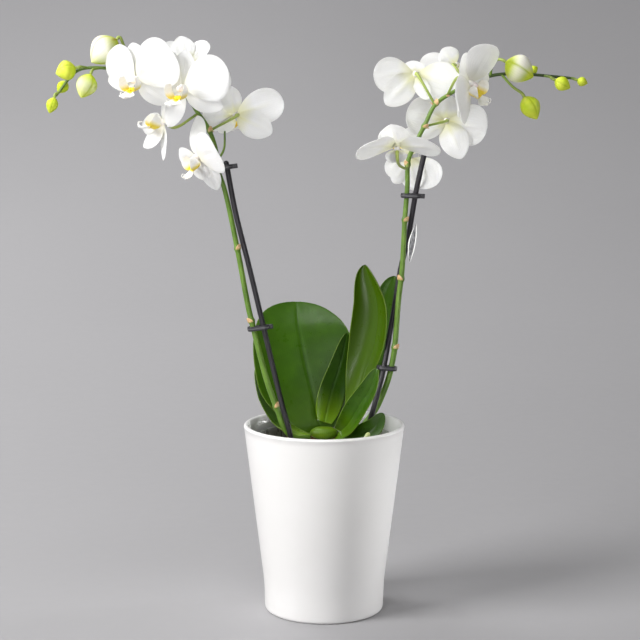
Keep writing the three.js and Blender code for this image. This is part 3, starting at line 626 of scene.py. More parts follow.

# the seven leaves

# each leaf's midrib, the way that it spreads at base and tip, its full width, half angles of its fold, outline,
# how far each side reaches, and its greens: a yellow-green base (glow), which on leaf C is partly painted
# light, a shift of the whole (olive), and a darkening of the whole that is painted shade
leaves = {
    "leaf_a_round": {
        "rib": [[-3, 10, 157], [-6, 13, 170], [-11, 19, 192], [-18, 30, 220], [-23, 44, 245], [-25, 60, 264]],
        "spread": [[1, 0.1, 0], [1, 0.1, -0.05]], "width": 94, "fold": [14, 12],
        "neck": 0.25, "open": 0.42, "tip": 5, "glow": 0.15},
    # leaf B is darkened all over: painted shade, for the shade it stands in
    "leaf_b_middle": {
        "rib": [[0, 3, 165], [2, 8, 174], [6, 13, 190], [12, 19, 208], [17, 24, 227], [20, 28, 240]],
        "spread": [[0.9, 0.4, 0], [0.9, 0.4, -0.2]], "width": 31, "fold": [35, 25],
        "neck": 0.5, "open": 0.3, "tip": 3, "left": [1, 0.65], "right": [0.85, 0.85],
        "glow": 0.85, "deep": 0.45},
    # on leaf C the yellow-green base is set full: partly its own tone and partly painted light, lighter where
    # light falls on it
    "leaf_c_low_left": {
        "rib": [[-13, 4, 153], [-25, 15.5, 154], [-38, 28, 162], [-50, 38, 182], [-58, 45, 211]],
        "spread": [[-0.1, 1, 0], [0.5, 0.4, 0.7]], "width": 32, "fold": [10, 25],
        "neck": 0.3, "open": 0.6, "tip": 3, "glow": 1, "olive": 0.2},
    "leaf_d_tall": {
        "rib": [[14, -1, 160], [25.5, 2, 178], [35, 6, 206], [44.5, 7, 238], [46, 7, 270], [35, 8, 303]],
        "spread": [[0.8, -0.6, 0], [0.83, -0.55, 0]], "width": 60, "fold": [75, 95],
        "neck": 0.25, "open": 0.6, "tip": 3.5, "left": [0.4, 1.25], "right": [0.2, 0.75],
        "glow": 0.4, "olive": 0.75},
    "leaf_e_back_right": {
        "rib": [[15, 10, 156], [28, 24, 172], [44, 32, 204], [55, 34, 244], [63, 35, 290]],
        "spread": [[0.8, -0.6, 0], [0.8, -0.6, 0]], "width": 30, "fold": [50, 50],
        "neck": 0.35, "open": 0.5, "tip": 6, "left": [1, 1.4], "right": [0.9, 0.5]},
    "leaf_f_front_right": {
        "rib": [[14, -11, 160], [21, -20, 169], [30, -25, 185], [39, -28, 201], [45, -28, 218]],
        "spread": [[0.7, -0.5, -0.5], [0.8, -0.5, -0.3]], "width": 25, "fold": [55, 50],
        "neck": 0.5, "open": 0.5, "tip": 2.6},
    "leaf_g_rim_right": {
        "rib": [[11, -6, 155], [20, -14, 155], [31, -21, 158], [42, -24, 166], [50.5, -23, 178.5]],
        "spread": [[0.1, -0.8, -0.5], [0.6, 0, -0.8]], "width": 22, "fold": [15, 25],
        "neck": 0.4, "open": 0.55, "tip": 2.6},
}
leafMake = {"thickness": 1.8, "groove": 0.5, "grooveWidth": 1.2, "wave": 0.5, "least": 0.09,
            "rows": 96, "columns": 72}
# the darkest green darkens a whole leaf where it stands in shade: painted shade
leafTones = {"upper": ("2e5003", "365c05"), "blotch": ("274703", "3d6208"), "vein": "4d6d20", "olive": "3e5903",
             # the paler yellow-green along the edges is a painted highlight
             "deep": "1c3b03", "under": "4f5e34", "rib": "22400a", "edgeHighlight": "7f9a33", "base": "6f9410"}


def leafMaterial():
    material, tree, shader = newMaterial(
        "leafGreen", Specular_IOR_Level=0.22, Coat_Weight=0.1, Coat_Roughness=0.16,
        Subsurface_Weight=0.04, Subsurface_Scale=0.002)
    blotch = drifting(tree, 130.0, *leafTones["blotch"], Low=0.45, High=0.75)
    lines = veins(tree, 46.0, 0.015, 0.35)
    middle, under = acrossMiddle(tree), mark(tree, "under")
    shares = {
        # the darkening of a whole leaf is painted shade
        "vein": times(tree, lines, 0.08), "olive": mark(tree, "olive"), "deep": mark(tree, "deep"),
        "under": times(tree, under, 0.6),
        "rib": times(tree, ramp(tree, middle, 0.0, 0.018, 1.0, 0.0), 0.55),
        # a paler line along the edges: a painted highlight where the edge catches light
        "edgeHighlight": times(tree, ramp(tree, middle, 0.965, 1.0), 0.35),
        # the yellow-green base is the leaf's own tone; where it is set full, as on leaf C, it is partly painted
        # light
        "base": times(tree, ramp(tree, along(tree), 0.02, 0.42, 1.0, 0.0), mark(tree, "glow"))}
    tone = tint(tree, 0.35, drifting(tree, 22.0, *leafTones["upper"]), blotch)
    tone = layered(tree, tone, *((share, leafTones[name]) for name, share in shares.items()))
    grain = grainHeight(tree, 160.0)
    paint(tree, shader, tone, plus(tree, uneven(tree, grain, 0.27, 0.36), times(tree, under, 0.15)))
    bump(tree, shader, plus(tree, times(tree, lines, 0.25), grain), 0.1, 0.0006)
    return material


def leafSurface(leaf, phase):
    # the midrib's curve, spread to both sides as an arc whose half angle is the fold, with a groove
    # along the midrib and a slow wave towards the edges
    curve = smoothCurve(leaf["rib"])
    baseWay, tipWay = (unit(np.array(way, float)) for way in leaf["spread"])

    def surface(s, t):
        across = mix(baseWay, tipWay, s[..., None])
        ahead = heading(curve, s)
        across = unit(across - ahead * np.sum(across * ahead, axis=-1, keepdims=True))
        upper = np.cross(across, ahead)
        bend = np.radians(mix(*leaf["fold"], s))
        opening = 1 - (1 - np.minimum(s / leaf["open"], 1)) ** 2
        outline = (leaf["neck"] + (1 - leaf["neck"]) * opening) * np.sqrt(np.maximum(1 - s ** leaf["tip"], 0))
        half = leaf["width"] / 2 * np.maximum(outline, leafMake["least"])
        edge = t * np.where(t > 0, *(mix(*leaf.get(hand, (1, 1)), s) for hand in ("right", "left")))
        groove = leafMake["groove"] * np.exp(-(edge * half / leafMake["grooveWidth"]) ** 2)
        groove = groove * np.minimum(8 * (1 - s), 1)
        wave = leafMake["wave"] * edge ** 2 * np.sin(9 * s + 2.2 * edge + phase) * np.minimum(half / 12, 1)
        lift = half * (1 - np.cos(bend * edge)) / bend - groove + wave
        return curve(s) + across * (half * np.sin(bend * edge) / bend)[..., None] + upper * lift[..., None]

    return surface


leafGreen = leafMaterial()
for number, (name, leaf) in enumerate(leaves.items()):
    # a leaf's darkening of the whole is painted shade
    skin = blade(leafSurface(leaf, 1.7 * number), leafMake["rows"], leafMake["columns"], leafMake["thickness"],
                 edge=0.45, glow=leaf.get("glow", 0.3), olive=leaf.get("olive", 0), deep=leaf.get("deep", 0))
    makePiece(pieceName(name), [skin], [leafGreen], [name])
print("leaves done")

# stakes, clips and label

stakes = {
    "radius": 2.3, "ridges": 8, "ridge": 0.035, "rows": 150, "around": 32, "tones": ("17141a", "232026"),
    "stake_left": [
        [-17, -24, 60], [-23, -23, 110], [-29, -21, 158], [-36, -17, 184], [-43, -12, 212], [-52, -7, 250],
        [-64, -4, 301], [-76, -2, 350], [-83, 0, 388], [-84, 0, 393]],
    "stake_right": [
        [12, -22, 60], [24, -20, 110], [36, -15, 158], [43, -12, 182], [50, -6, 208], [57, 2, 244],
        [62, 6, 274], [66, 7, 299], [72, 6, 325], [75, 3, 344], [78, 0, 364], [82, 0, 384], [88, 2, 410]],
}

# the top of each spike, among its blooms and buds, is painted darker: painted shade, stronger on the right
# spike
spikes = {
    "spike_left": {
        "rachis": [
            [-12, -7, 154], [-22, -12, 154], [-32, -14, 160], [-41, -11, 181], [-49, -9, 203], [-60, -7, 246],
            [-65, -6, 267], [-74, -4, 316], [-85, -1, 368], [-92, 0, 390], [-92, 1, 400], [-98, 2, 419],
            [-108, 4, 434], [-115, 6, 444], [-130, 8, 455], [-148, 9, 463], [-167, 8, 468], [-186, 5, 471],
            [-206, 2, 470], [-215, 2, 464], [-221, 1, 456], [-228, 0, 447]],
        "joints": [182, 256, 318, 391, 418], "dusk": 0.35,
        "shoots": [[[-92, 1, 392], [-86, 8, 402], [-85, 9, 418]]]},
    "spike_right": {
        "rachis": [
            [13, 3, 153], [23, 1, 153.5], [31, -2, 159], [38, -4, 169], [45, -5, 179], [51, -4, 192],
            [56, -3, 206], [59, -2, 219], [61, -2, 232], [62.5, -1, 251], [64, 0, 272], [67, 0, 299],
            [68, 0, 319], [69, 0, 342], [71, 0, 371], [71.5, 0, 392], [75, 0, 402], [81, 1, 414],
            [86, 1, 424], [94, 0, 440], [106, 0, 449], [124, 4, 458], [144, 4, 465], [165, 4, 466],
            [193, 1, 464], [213, 0, 462]],
        "joints": [232, 292, 342, 390, 422, 441], "dusk": 0.9,
        "shoots": []},
}
stemSize = {"foot": 2.6, "tip": 1.1, "pedicel": 1.1, "gap": 0.4, "swelling": 0.75, "rows": 420, "around": 24}
# the darkest green is painted shade at the top of each spike
stemTones = {"green": ("4a6d1b", "698c31"), "pale": "b7c56a", "dusk": "27380f", "line": "3f5c1a",
             "fleck": "93ab56", "bract": ("c99a6b", "ecd0a4"), "bractLine": "a87a4b", "bractFoot": "8aa04a"}


def atHeight(route, height):
    # where a route first reaches a height, and the way it runs there
    curve = smoothCurve(route)
    s = np.linspace(0, 1, 401)
    best = s[np.argmin(np.abs(curve(s)[:, 2] - height))]
    return curve(best), heading(curve, best), best


def stakeMaterial():
    return grainyMaterial("stakePlastic", 90.0, stakes["tones"], (420.0, (1, 1, 0.15)), (0.36, 0.55),
                          (0.3, 0.0004), Specular_IOR_Level=0.5)


def supportStake(name):
    def ribbed(s, turn):
        # soft ridges along the rod
        return stakes["radius"] * (1 + stakes["ridge"] * np.cos(stakes["ridges"] * turn) - stakes["ridge"])

    rod = shoot(stakes[name], ribbed, stakes["rows"], stakes["around"])
    makePiece(pieceName(name), [rod], [stakePlastic], [name])


clips = {
    "size": {"height": 4, "wall": 1.6, "spare": 0.9, "level": 0.5, "tabHalf": 1.4, "ridge": 0.3,
             "section": 28, "arc": 25, "tabRows": 9},
    # the pale grey is a painted highlight along each clip's ridge
    "tones": ("242428", "313135"), "wornTone": "77767a",
    "clip_left_low": {"spike": "spike_left", "stake": "stake_left", "height": 249, "tab": 8},
    "clip_left_high": {"spike": "spike_left", "stake": "stake_left", "height": 386, "tab": 9},
    "clip_right_low": {"spike": "spike_right", "stake": "stake_right", "height": 214, "tab": 6},
    "clip_right_high": {"spike": "spike_right", "stake": "stake_right", "height": 363, "tab": 8},
}


def clipMaterial():
    # the outer middle of the band is painted paler: a painted highlight along the ridge
    def ridgeHighlight(tree):
        return [(times(tree, ramp(tree, mark(tree, "ridge"), 0.3, 1.0), 0.5), clips["wornTone"])]

    return grainyMaterial("clipPlastic", 120.0, clips["tones"], (900.0,), (0.4, 0.55), (0.2, 0.0002), ridgeHighlight,
                          Specular_IOR_Level=0.5)


def plantClip(name):
    # an oblong section carried round a stadium that holds stem and stake, with a web between them and
    # a tab beside the stake
    size, clip = clips["size"], clips[name]
    stem, ahead, _ = atHeight(spikes[clip["spike"]]["rachis"], clip["height"])
    upright = unit(mix(ahead, np.array([0, 0, 1.0]), size["level"]))
    across = atHeight(stakes[clip["stake"]], clip["height"])[0] - stem
    across = across - upright * np.dot(across, upright)
    span = np.linalg.norm(across)
    across = across / span
    beside = np.cross(upright, across)
    grip = stemSize["foot"] + size["spare"] + size["wall"] / 2
    reach = stakes["radius"] + size["spare"] + size["wall"] / 2
    section = circle(size["section"])
    thick, tall = (np.sign(wave) * np.abs(wave) ** 0.4 * full / 2 for wave, full in (
        (np.cos(section), size["wall"]), (np.sin(section), size["height"])))
    ridge = np.exp(-(tall / 0.55) ** 2) * (np.cos(section) > 0)

    def placed(x, y, ridge, **more):
        # from the clip's own plane to its place, each row with the section's heights
        grid = (len(x), size["section"])
        x, y, z = (np.broadcast_to(k, grid)[..., None] for k in (x, y, tall))
        return shell(stem + x * across + y * beside + z * upright, ridge=np.broadcast_to(ridge, grid), **more)

    def band(x, y, outX, outY, **more):
        # the rounded oblong section carried round a path in the clip's own plane
        out = thick + size["ridge"] * ridge
        return placed(x[:, None] + outX[:, None] * out, y[:, None] + outY[:, None] * out, ridge, **more)

    arc, rows = size["arc"], size["tabRows"]
    turn = np.concatenate([np.linspace(np.pi / 2, 3 * np.pi / 2, arc), np.linspace(-np.pi / 2, np.pi / 2, arc)])
    radius, middle = np.repeat([grip, reach], arc), np.repeat([0, span], arc)
    loop = band(middle + radius * np.cos(turn), radius * np.sin(turn), np.cos(turn), np.sin(turn), loop=True)
    y = np.linspace(-grip + 0.4, grip - 0.4, rows)
    web = band(np.full(rows, (grip + span - reach) / 2), y, np.ones(rows), np.zeros(rows))
    x = np.linspace(span + reach, span + clip["tab"], rows)
    swell = np.array([0.9, 1, 1, 1.05, 1.15, 1.2, 1.2, 1.1, 0.8]) * size["tabHalf"] / (size["wall"] / 2)
    tab = placed(x[:, None], swell[:, None] * thick, 0)
    makePiece(pieceName(name), [loop, web, tab], [clipPlastic], [name])


label = {"foot": [73, -6, 306], "up": [0.16, -0.03, 1], "across": [0.45, -0.9, 0],
         "length": 34, "width": 12, "thickness": 0.8, "curl": 0.9,
         "rim": "f0f0ee", "face": ("47464a", "828286")}


def labelMaterial():
    material, tree, shader = newMaterial("bareCard", Specular_IOR_Level=0.4)
    grain = grainHeight(tree, 900.0)
    face = ramp(tree, acrossMiddle(tree), 0.72, 0.78, 1.0, 0.0)
    tone = tint(tree, face, colour(label["rim"]), drifting(tree, 300.0, *label["face"]))
    paint(tree, shader, tone, uneven(tree, grain, 0.5, 0.65))
    bump(tree, shader, grain, 0.2, 0.0002)
    return material


def stakeLabel():
    foot, up, across = (np.array(label[key], float) for key in ("foot", "up", "across"))
    out = unit(np.cross(across, up))

    def face(s, t):
        # a pointed lens of card, slightly curled across
        half = label["width"] / 2 * np.maximum(np.sin(np.pi * s), 0.05)
        return (foot + up * (s * label["length"])[..., None] + across * (t * half)[..., None]
                + out * (label["curl"] * (t * np.sin(np.pi * s)) ** 2)[..., None])

    card = blade(face, 40, 20, label["thickness"], edge=0.4)
    makePiece("stakeLabel", [card], [labelMaterial()], ["label"])


stakePlastic = stakeMaterial()
clipPlastic = clipMaterial()
for name in ("stake_left", "stake_right"):
    supportStake(name)
for name in [key for key in clips if key.startswith("clip_")]:
    plantClip(name)
stakeLabel()
print("stakes, clips and label done")

# the twelve open blooms and their lips

# a bloom's five tepals are given as angle, length, width, sweep back and, where it has one, twist, in the
# order right petal, left petal, dorsal sepal, right lateral sepal, left lateral sepal
flower = {
    "start": 1.4, "setBack": 1.6, "sepalLean": 4, "curl": 0.08, "thickness": 0.8, "rows": 44, "columns": 32,
    "column": {"radius": 2.6, "length": 11, "rear": 4},
    "lip": {"throat": 8.2, "lobe": 10, "middle": 8.4, "tongue": 13, "width": 16},
    "petals": ("f8f8f4", "fefefc"), "petalVein": "e6e6da", "petalBase": "f2efbc", "petalBack": "e8e69a",
    "columnTones": ("f6f0ee", "fbf7f4"), "columnCap": "e8c6cf",
    "lipTones": ("f4f2ea", "fdfcf8"), "lipYellow": ("f3d01f", "f9e448"), "lipSpot": "d2701a",
}
blooms = {
    "bloom_left_1": {
        "at": [-156, -30, 461], "yaw": -30, "pitch": -12, "size": 0.94, "joins": [-140, 8, 460],
        "tepals": [(31, 43, 46, 12), (146, 37, 37, 8), (100, 31, 27, 10),
                   (-42, 34, 27, 12), (184, 36, 22, 6)]},
    "bloom_left_2": {
        "at": [-117, -38, 454], "yaw": -28, "pitch": -7, "size": 0.98, "joins": [-112, 5, 441],
        "tepals": [(17, 43, 39, 10), (150, 36, 40, 14), (93, 31, 23, 12),
                   (-31, 36, 25, 12), (234, 42, 20, 8)]},
    "bloom_left_3": {
        "at": [-138, 8, 425], "yaw": -66, "pitch": 22, "size": 0.9, "joins": [-107, 4, 433],
        "tepals": [(35, 24, 20, -20, 30), (190, 29, 23, -19), (112, 26, 22, -14),
                   (-84, 34, 17, 14), (244, 30, 24, -16, -15)]},
    "bloom_left_4": {
        "at": [-107, -16, 397], "yaw": -62, "pitch": -30, "size": 0.9, "joins": [-94, 1, 408],
        "tepals": [(2, 31, 44, 16), (180, 24, 24, -20), (98, 36, 20, 28, 45),
                   (-88, 36, 24, -4, -30), (252, 24, 22, -18, -30)]},
    "bloom_left_5": {
        "at": [-77, 27, 431], "yaw": 194, "pitch": 0, "roll": 6, "size": 1.05, "joins": [-98, 2, 418],
        "tepals": [(0, 28, 22, 12), (168, 40, 29, 10), (74, 29, 18, 30),
                   (-36, 20, 16, 12, 40), (213, 32, 24, 12)]},
    "bloom_left_6": {
        "at": [-118, 34, 475], "yaw": 172, "pitch": -42, "size": 0.85, "joins": [-125, 7, 452],
        "tepals": [(20, 33, 36, 12), (124, 30, 22, 12), (70, 31, 25, 10),
                   (-46, 30, 24, 16), (226, 30, 24, 16)]},
    "bloom_right_1": {
        "at": [78, 16, 466], "yaw": 184, "pitch": 0, "size": 0.98, "joins": [94, 0, 440],
        "tepals": [(-2, 37, 31, 12), (196, 36, 34, 10), (90, 20, 20, -62),
                   (-44, 38, 26, 12), (246, 24, 14, 14)]},
    "bloom_right_2": {
        "at": [115.5, 40, 474], "yaw": 158, "pitch": 0, "size": 0.85, "joins": [125, 4, 458.5],
        "bend": [[121, 14, 462]],
        "tepals": [(0, 37, 26, 12), (196, 26, 22, 12), (50, 21, 23, 12),
                   (-40, 28, 24, 16), (240, 24, 20, 16)]},
    "bloom_right_3": {
        "at": [60.4, -33, 405.5], "yaw": 180, "pitch": 50, "size": 0.98, "joins": [71.5, 0, 392], "droop": 7,
        "bend": [[70, -8, 387], [63, -25, 390]],
        "tepals": [(28, 37, 34, 14), (152, 38, 29, 12), (76, 24, 28, -22),
                   (-78, 16, 16, 4), (262, 16, 16, 4)]},
    "bloom_right_4": {
        "at": [76, 48, 394], "yaw": 174, "pitch": -15, "size": 0.9, "joins": [71, 0, 386],
        "tepals": [(-42, 28, 24, 12), (228, 39, 32, 12), (90, 28, 24, 20),
                   (-62, 32, 22, 12), (262, 36, 26, 12)]},
    "bloom_right_5": {
        "at": [106, 32, 426.3], "yaw": 180, "pitch": 0, "size": 1, "joins": [86, 1, 422],
        "tepals": [(10, 35, 34, 12), (190, 35, 36, 10), (88, 22, 26, 14),
                   (-36, 26, 12, 12), (248, 35, 26, 12)]},
    "bloom_right_6": {
        "at": [121.5, -26, 458], "yaw": 62, "pitch": -25, "roll": -25, "size": 0.95, "joins": [104, 0, 448],
        "tepals": [(63, 37, 44, -6, -16), (191, 37, 45, -20, 20),
                   (95, 27, 24, 16), (-15, 30, 20, -12), (240, 30, 22, -14)]},
}


def turnTo(pose):
    # the turn of a bloom: roll about its own facing, then pitch, then yaw
    yaw, pitch, roll = (math.radians(pose.get(key, 0)) for key in ("yaw", "pitch", "roll"))
    cz, sz, cx, sx, cy, sy = (f(a) for a in (yaw, -pitch, roll) for f in (math.cos, math.sin))
    aboutZ = np.array([[cz, -sz, 0], [sz, cz, 0], [0, 0, 1]])
    aboutX = np.array([[1, 0, 0], [0, cx, -sx], [0, sx, cx]])
    aboutY = np.array([[cy, 0, sy], [0, 1, 0], [-sy, 0, cy]])
    return aboutZ @ aboutX @ aboutY


def petalOutline(s):
    # a narrow claw, full by a third of the way, and a round end
    return np.maximum(1.14 * (1 - (1 - s) ** 3) ** 0.9 * np.sqrt(np.maximum(1 - s ** 4, 0)), 0.03)


def sepalOutline(s):
    # an ellipse with a blunt point
    return np.maximum(1.24 * (1 - (1 - s) ** 3) ** 0.7 * np.maximum(1 - s ** 2.2, 0) ** 0.6, 0.03)


def tepalSurface(tepal, isPetal, droop, phase):
    # out from the middle at its angle, swept back by another, twisted about its own middle line, edges
    # curled back by the square of the distance from that line, end drooped by the square of the way
    # along, with a fold along the middle and a ripple near the edge
    angle, length, width, sweep, twist = (*tepal, 0)[:5]
    turn, roll = math.radians(angle), math.radians(twist)
    lean = math.radians(sweep if isPetal else sweep + flower["sepalLean"])
    out = np.array([math.cos(turn), 0, math.sin(turn)])
    across = np.array([out[2] * math.cos(roll), math.sin(roll), -out[0] * math.cos(roll)])
    outline = petalOutline if isPetal else sepalOutline
    curl = flower["curl"] * (1 if isPetal else 0.5)

    def surface(s, t):
        wide = outline(s)
        ripple = (0.9 if isPetal else 0.5) * t ** 2 * np.sin(7.5 * s + 4 * t + phase) * s
        ripple += 0.5 * np.sin(3 * t + phase) * np.sin(np.pi * s) * (1 if isPetal else 0.4)
        fold = 0.7 * np.exp(-(t * wide * width / 5) ** 2) * np.sin(np.pi * np.minimum(s * 1.1, 1))
        back = (0 if isPetal else flower["setBack"]) + length * s * math.sin(lean)
        back = back + curl * width * t ** 2 * wide * s + ripple + fold + droop * s ** 2
        return (out * (flower["start"] + length * s * math.cos(lean))[..., None]
                + across * (t * width / 2 * wide)[..., None] + np.array([0, 1, 0]) * back[..., None])

    return surface


def petalMaterial():
    material, tree, shader = newMaterial(
        "whitePetal", Specular_IOR_Level=0.3, Subsurface_Weight=0.6, Subsurface_Scale=0.004,
        Subsurface_Radius=(1, 0.98, 0.9), Sheen_Weight=0.15, Sheen_Roughness=0.5)
    lines = veins(tree, 15.0, 0.08, 0.22)
    grain = grainHeight(tree, 900.0)
    length = along(tree)
    base = ramp(tree, length, 0.03, 0.45, 1.0, 0.0)
    rib = times(tree, ramp(tree, acrossMiddle(tree), 0.0, 0.25, 1.0, 0.0),
                ramp(tree, length, 0.2, 0.85, 1.0, 0.0))
    green = times(tree, mark(tree, "under"), plus(tree, times(tree, base, 0.6), times(tree, rib, 0.2)))
    tone = layered(
        tree, drifting(tree, 38.0, *flower["petals"]), (times(tree, lines, 0.1), flower["petalVein"]),
        (times(tree, base, 0.35), flower["petalBase"]), (green, flower["petalBack"]))
    paint(tree, shader, tone, uneven(tree, grain, 0.5, 0.66))
    bump(tree, shader, plus(tree, times(tree, lines, -0.6), times(tree, grain, 0.5)), 0.22, 0.0006)
    return material


def columnMaterial():
    def pinkCap(tree):
        return [(ramp(tree, along(tree), 0.45, 0.95, 0.0, 0.35), flower["columnCap"])]

    return grainyMaterial("columnWhite", 220.0, flower["columnTones"], (1200.0,), (0.4, 0.5), (0.15, 0.0003),
                          pinkCap, Specular_IOR_Level=0.4, Subsurface_Weight=0.2, Subsurface_Scale=0.002,
                          Subsurface_Radius=(1, 0.95, 0.9))


def lipMaterial():
    material, tree, shader = newMaterial("lipYellow", Specular_IOR_Level=0.4, Subsurface_Weight=0.2,
                                         Subsurface_Scale=0.002, Subsurface_Radius=(1, 0.95, 0.8))
    yellow = mark(tree, "yellow")
    tone = tint(tree, ramp(tree, yellow, 0.25, 0.75), drifting(tree, 260.0, *flower["lipTones"]),
                drifting(tree, 320.0, *flower["lipYellow"]))
    spotted = times(tree, spots(tree, 820.0, 0.42), times(tree, ramp(tree, yellow, 0.6, 0.95), 0.6))
    grain = grainHeight(tree, 1100.0)
    paint(tree, shader, layered(tree, tone, (spotted, flower["lipSpot"])), uneven(tree, grain, 0.36, 0.48))
    bump(tree, shader, grain, 0.2, 0.0003)
    return material


def standing(pose):
    # carries points from a bloom's own frame, where it faces -y, to its place
    turn, at, size = turnTo(pose), np.array(pose["at"], float), pose.get("size", 1)
    return lambda points: at + size * points @ turn.T


def openBloom(name, pose, seed):
    stand, column = standing(pose), flower["column"]
    parts = []
    for index, tepal in enumerate(pose["tepals"]):
        isPetal = index < 2
        surface = tepalSurface(tepal, isPetal, pose.get("droop", 0) if isPetal else 0, 2.3 * seed + 1.9 * index)
        parts.append(blade(surface, flower["rows"], flower["columns"], flower["thickness"], edge=0.9))
    rear, front = column["rear"], column["rear"] - column["length"]
    post = [[0, rear, 0], [0, rear - 3, 0.1], [0, front + 4.5, 0.2], [0, front + 1.5, -0.2], [0, front, -1.1]]

    def swelling(s, turnRound):
        # a waist behind the cap, which swells again at the front
        return column["radius"] * (0.86 + 0.22 * np.sin(np.pi * s) - 0.16 * np.exp(-((s - 0.66) / 0.08) ** 2)) \
            * (1 + 0.1 * np.cos(2 * turnRound))

    parts.append(shoot(post, swelling, 24, 24, material=1))
    title = name.replace("bloom_", "bloom")
    makePiece(title, [moved(part, stand) for part in parts], [whitePetal, columnWhite], [name])


def lipShells():
    throat, lobe, middle, tongue, width = flower["lip"].values()
    shells = []

    def sideLobe(hand):
        def surface(s, t):
            # an ear that stands up beside the column: an arc of the throat's circle, widest near its top
            turn = np.pi * mix(0.16, 0.64, s)
            swell = np.sin(np.pi * s ** 0.8) ** 0.7 * np.sqrt(np.maximum(1 - s ** 6, 0))
            wide = lobe / 2 * (0.5 + 0.62 * swell)
            flare = 1 + 0.14 * s * (t + 0.4)
            return np.stack([hand * throat * flare * np.sin(turn), -middle - t * wide - 0.8 * s,
                             -1 - throat * np.cos(turn) + 2 * s ** 2], axis=-1)
        return surface

    def cradle(s, t):
        # the bottom of the throat, a shallow gutter that holds the callus
        turn = np.pi * 0.3 * (2 * s - 1)
        return np.stack([throat * np.sin(turn), -middle - t * lobe * 0.34, -0.8 - throat * np.cos(turn)],
                        axis=-1)

    def apron(s, t):
        # the tongue: a narrow neck, wide at two fifths, then a long point that curls up at its end
        half = width / 2 * (0.42 + 0.62 * np.exp(-((s - 0.42) / 0.2) ** 2))
        half = half * np.sqrt(np.maximum(1 - s ** 5, 0.0004))
        return np.stack([t * half, -middle - 0.4 - tongue * np.sin(1.45 * s) - 0.5 * t ** 2,
                         -9 - 4 * np.sin(2.4 * s) + 2.4 * t ** 2 * (1 - 0.5 * s) + s ** 4], axis=-1)

    for hand in (-1, 1):
        ear = blade(sideLobe(hand), 30, 22, 0.8, edge=0.7, yellow=0)
        height = (ear["points"][:, 2] + 9) / 11
        ear["marks"]["yellow"] = np.clip(0.9 - height, 0, 1)
        shells.append(ear)
    gutter = blade(cradle, 24, 12, 0.9, edge=0.7, yellow=1.0)
    blunt = blade(apron, 36, 24, 0.9, edge=0.7, yellow=0)
    blunt["marks"]["yellow"] = np.clip((blunt["points"][:, 1] + 13.5) / 4, 0, 1)
    shells += [gutter, blunt]
    for hand in (-1, 1):
        shells.append(egg((hand * 1.4, -8, -7), (1.5, 2.4, 1.9), 12, 18, yellow=0.95))
        curlPath = [[hand * 0.9, -21.4, -10.4], [hand * 1.6, -22.2, -9.2], [hand * 2.6, -21.6, -7.6],
                    [hand * 3.0, -20.2, -7.0], [hand * 2.6, -19.2, -7.6]]
        shells.append(shoot(curlPath, lambda s, turn: 0.5 - 0.2 * s + 0 * turn, 22, 10, yellow=0.1))
    return shells


whitePetal = petalMaterial()
columnWhite = columnMaterial()
lipYellow = lipMaterial()
for seed, (name, pose) in enumerate(blooms.items()):
    openBloom(name, pose, seed)
    parts = [moved(part, standing(pose)) for part in lipShells()]
    makePiece(name.replace("bloom_", "lip"), parts, [lipYellow], [name.replace("bloom", "lip")])
print("blooms and lips done")

# the ten buds

# each bud: its stalk's route, its tip and full width, how white it is (0 is green), how green its two
# ends stay, and whether it has rusty marks
buds = {
    "bud_left_1": {"route": [[-172, 8, 468], [-168, 5, 482], [-170, 2, 491], [-175, 0, 495]],
        "tip": [-196, -5, 475.5], "width": 25.5, "white": 0.6, "ends": 0.5, "rust": 1},
    "bud_left_2": {"route": [[-190, 5, 471], [-195, 0, 470], [-197, -4, 466]],
        "tip": [-205, -8, 446], "width": 18, "white": 0.4, "ends": 0.6},
    "bud_left_3": {"route": [[-200, 3, 471], [-205, -3, 472], [-209, -6, 471]],
        "tip": [-226, -8, 466], "width": 17, "white": 0.2},
    "bud_left_4": {"route": [[-215, 2, 464], [-217, 5, 462], [-219, 7, 460]],
        "tip": [-227, 8, 450], "width": 10, "white": 0.1},
    "bud_left_5": {"route": [[-221, 1, 456], [-226, 0, 450], [-228.5, -1, 446.5]],
        "tip": [-233, -2, 433], "width": 10, "white": 0.05},
    "bud_right_1": {"route": [[141, 4, 465], [142, -3, 474], [146, -9, 478], [152, -12, 476]],
        "tip": [175, -15, 463], "width": 24, "white": 0.68, "ends": 0.9},
    "bud_right_2": {"route": [[165, 4, 466], [171, 8, 466], [174, 9, 467]],
        "tip": [182, 12, 472], "width": 8},
    "bud_right_3": {"route": [[150, 4, 466], [160, 1, 455], [169, -2, 447]],
        "tip": [180, -6, 428], "width": 17, "white": 0.25, "ends": 0.5},
    "bud_right_4": {"route": [[186, 2, 464.5], [190, -4, 463.5], [194, -8, 461]],
        "tip": [207, -9, 454], "width": 12, "white": 0.1},
    "bud_right_5": {"route": [[208, 0, 462.5], [212, 0, 462], [214, 0, 461]],
        "tip": [223, 0, 458], "width": 8},
}
budMake = {"rows": 40, "around": 60, "crease": 0.035}
budTones = {"green": ("c2da1e", "e0ea4c"), "white": "f6f4e6", "seam": "9fb524", "line": "b2c432",
            "rust": "b3752c"}


def budMaterial():
    material, tree, shader = newMaterial("budGreen", Specular_IOR_Level=0.35, Subsurface_Weight=0.3,
                                         Subsurface_Scale=0.002, Subsurface_Radius=(0.9, 1, 0.5))
    lines = veins(tree, 36.0, 0.03, 0.25)
    grain = grainHeight(tree, 800.0)
    shares = {
        "white": ramp(tree, mark(tree, "white"), 0.15, 0.8), "seam": times(tree, mark(tree, "seam"), 0.5),
        "line": times(tree, lines, 0.1), "rust": times(tree, ramp(tree, mark(tree, "rust"), 0.4, 1.0), 0.7)}
    tone = layered(tree, drifting(tree, 110.0, *budTones["green"]),
                   *((share, budTones[name]) for name, share in shares.items()))
    paint(tree, shader, tone, uneven(tree, grain, 0.4, 0.55))
    bump(tree, shader, plus(tree, times(tree, lines, 0.4), times(tree, grain, 0.5)), 0.15, 0.0004)
    return material


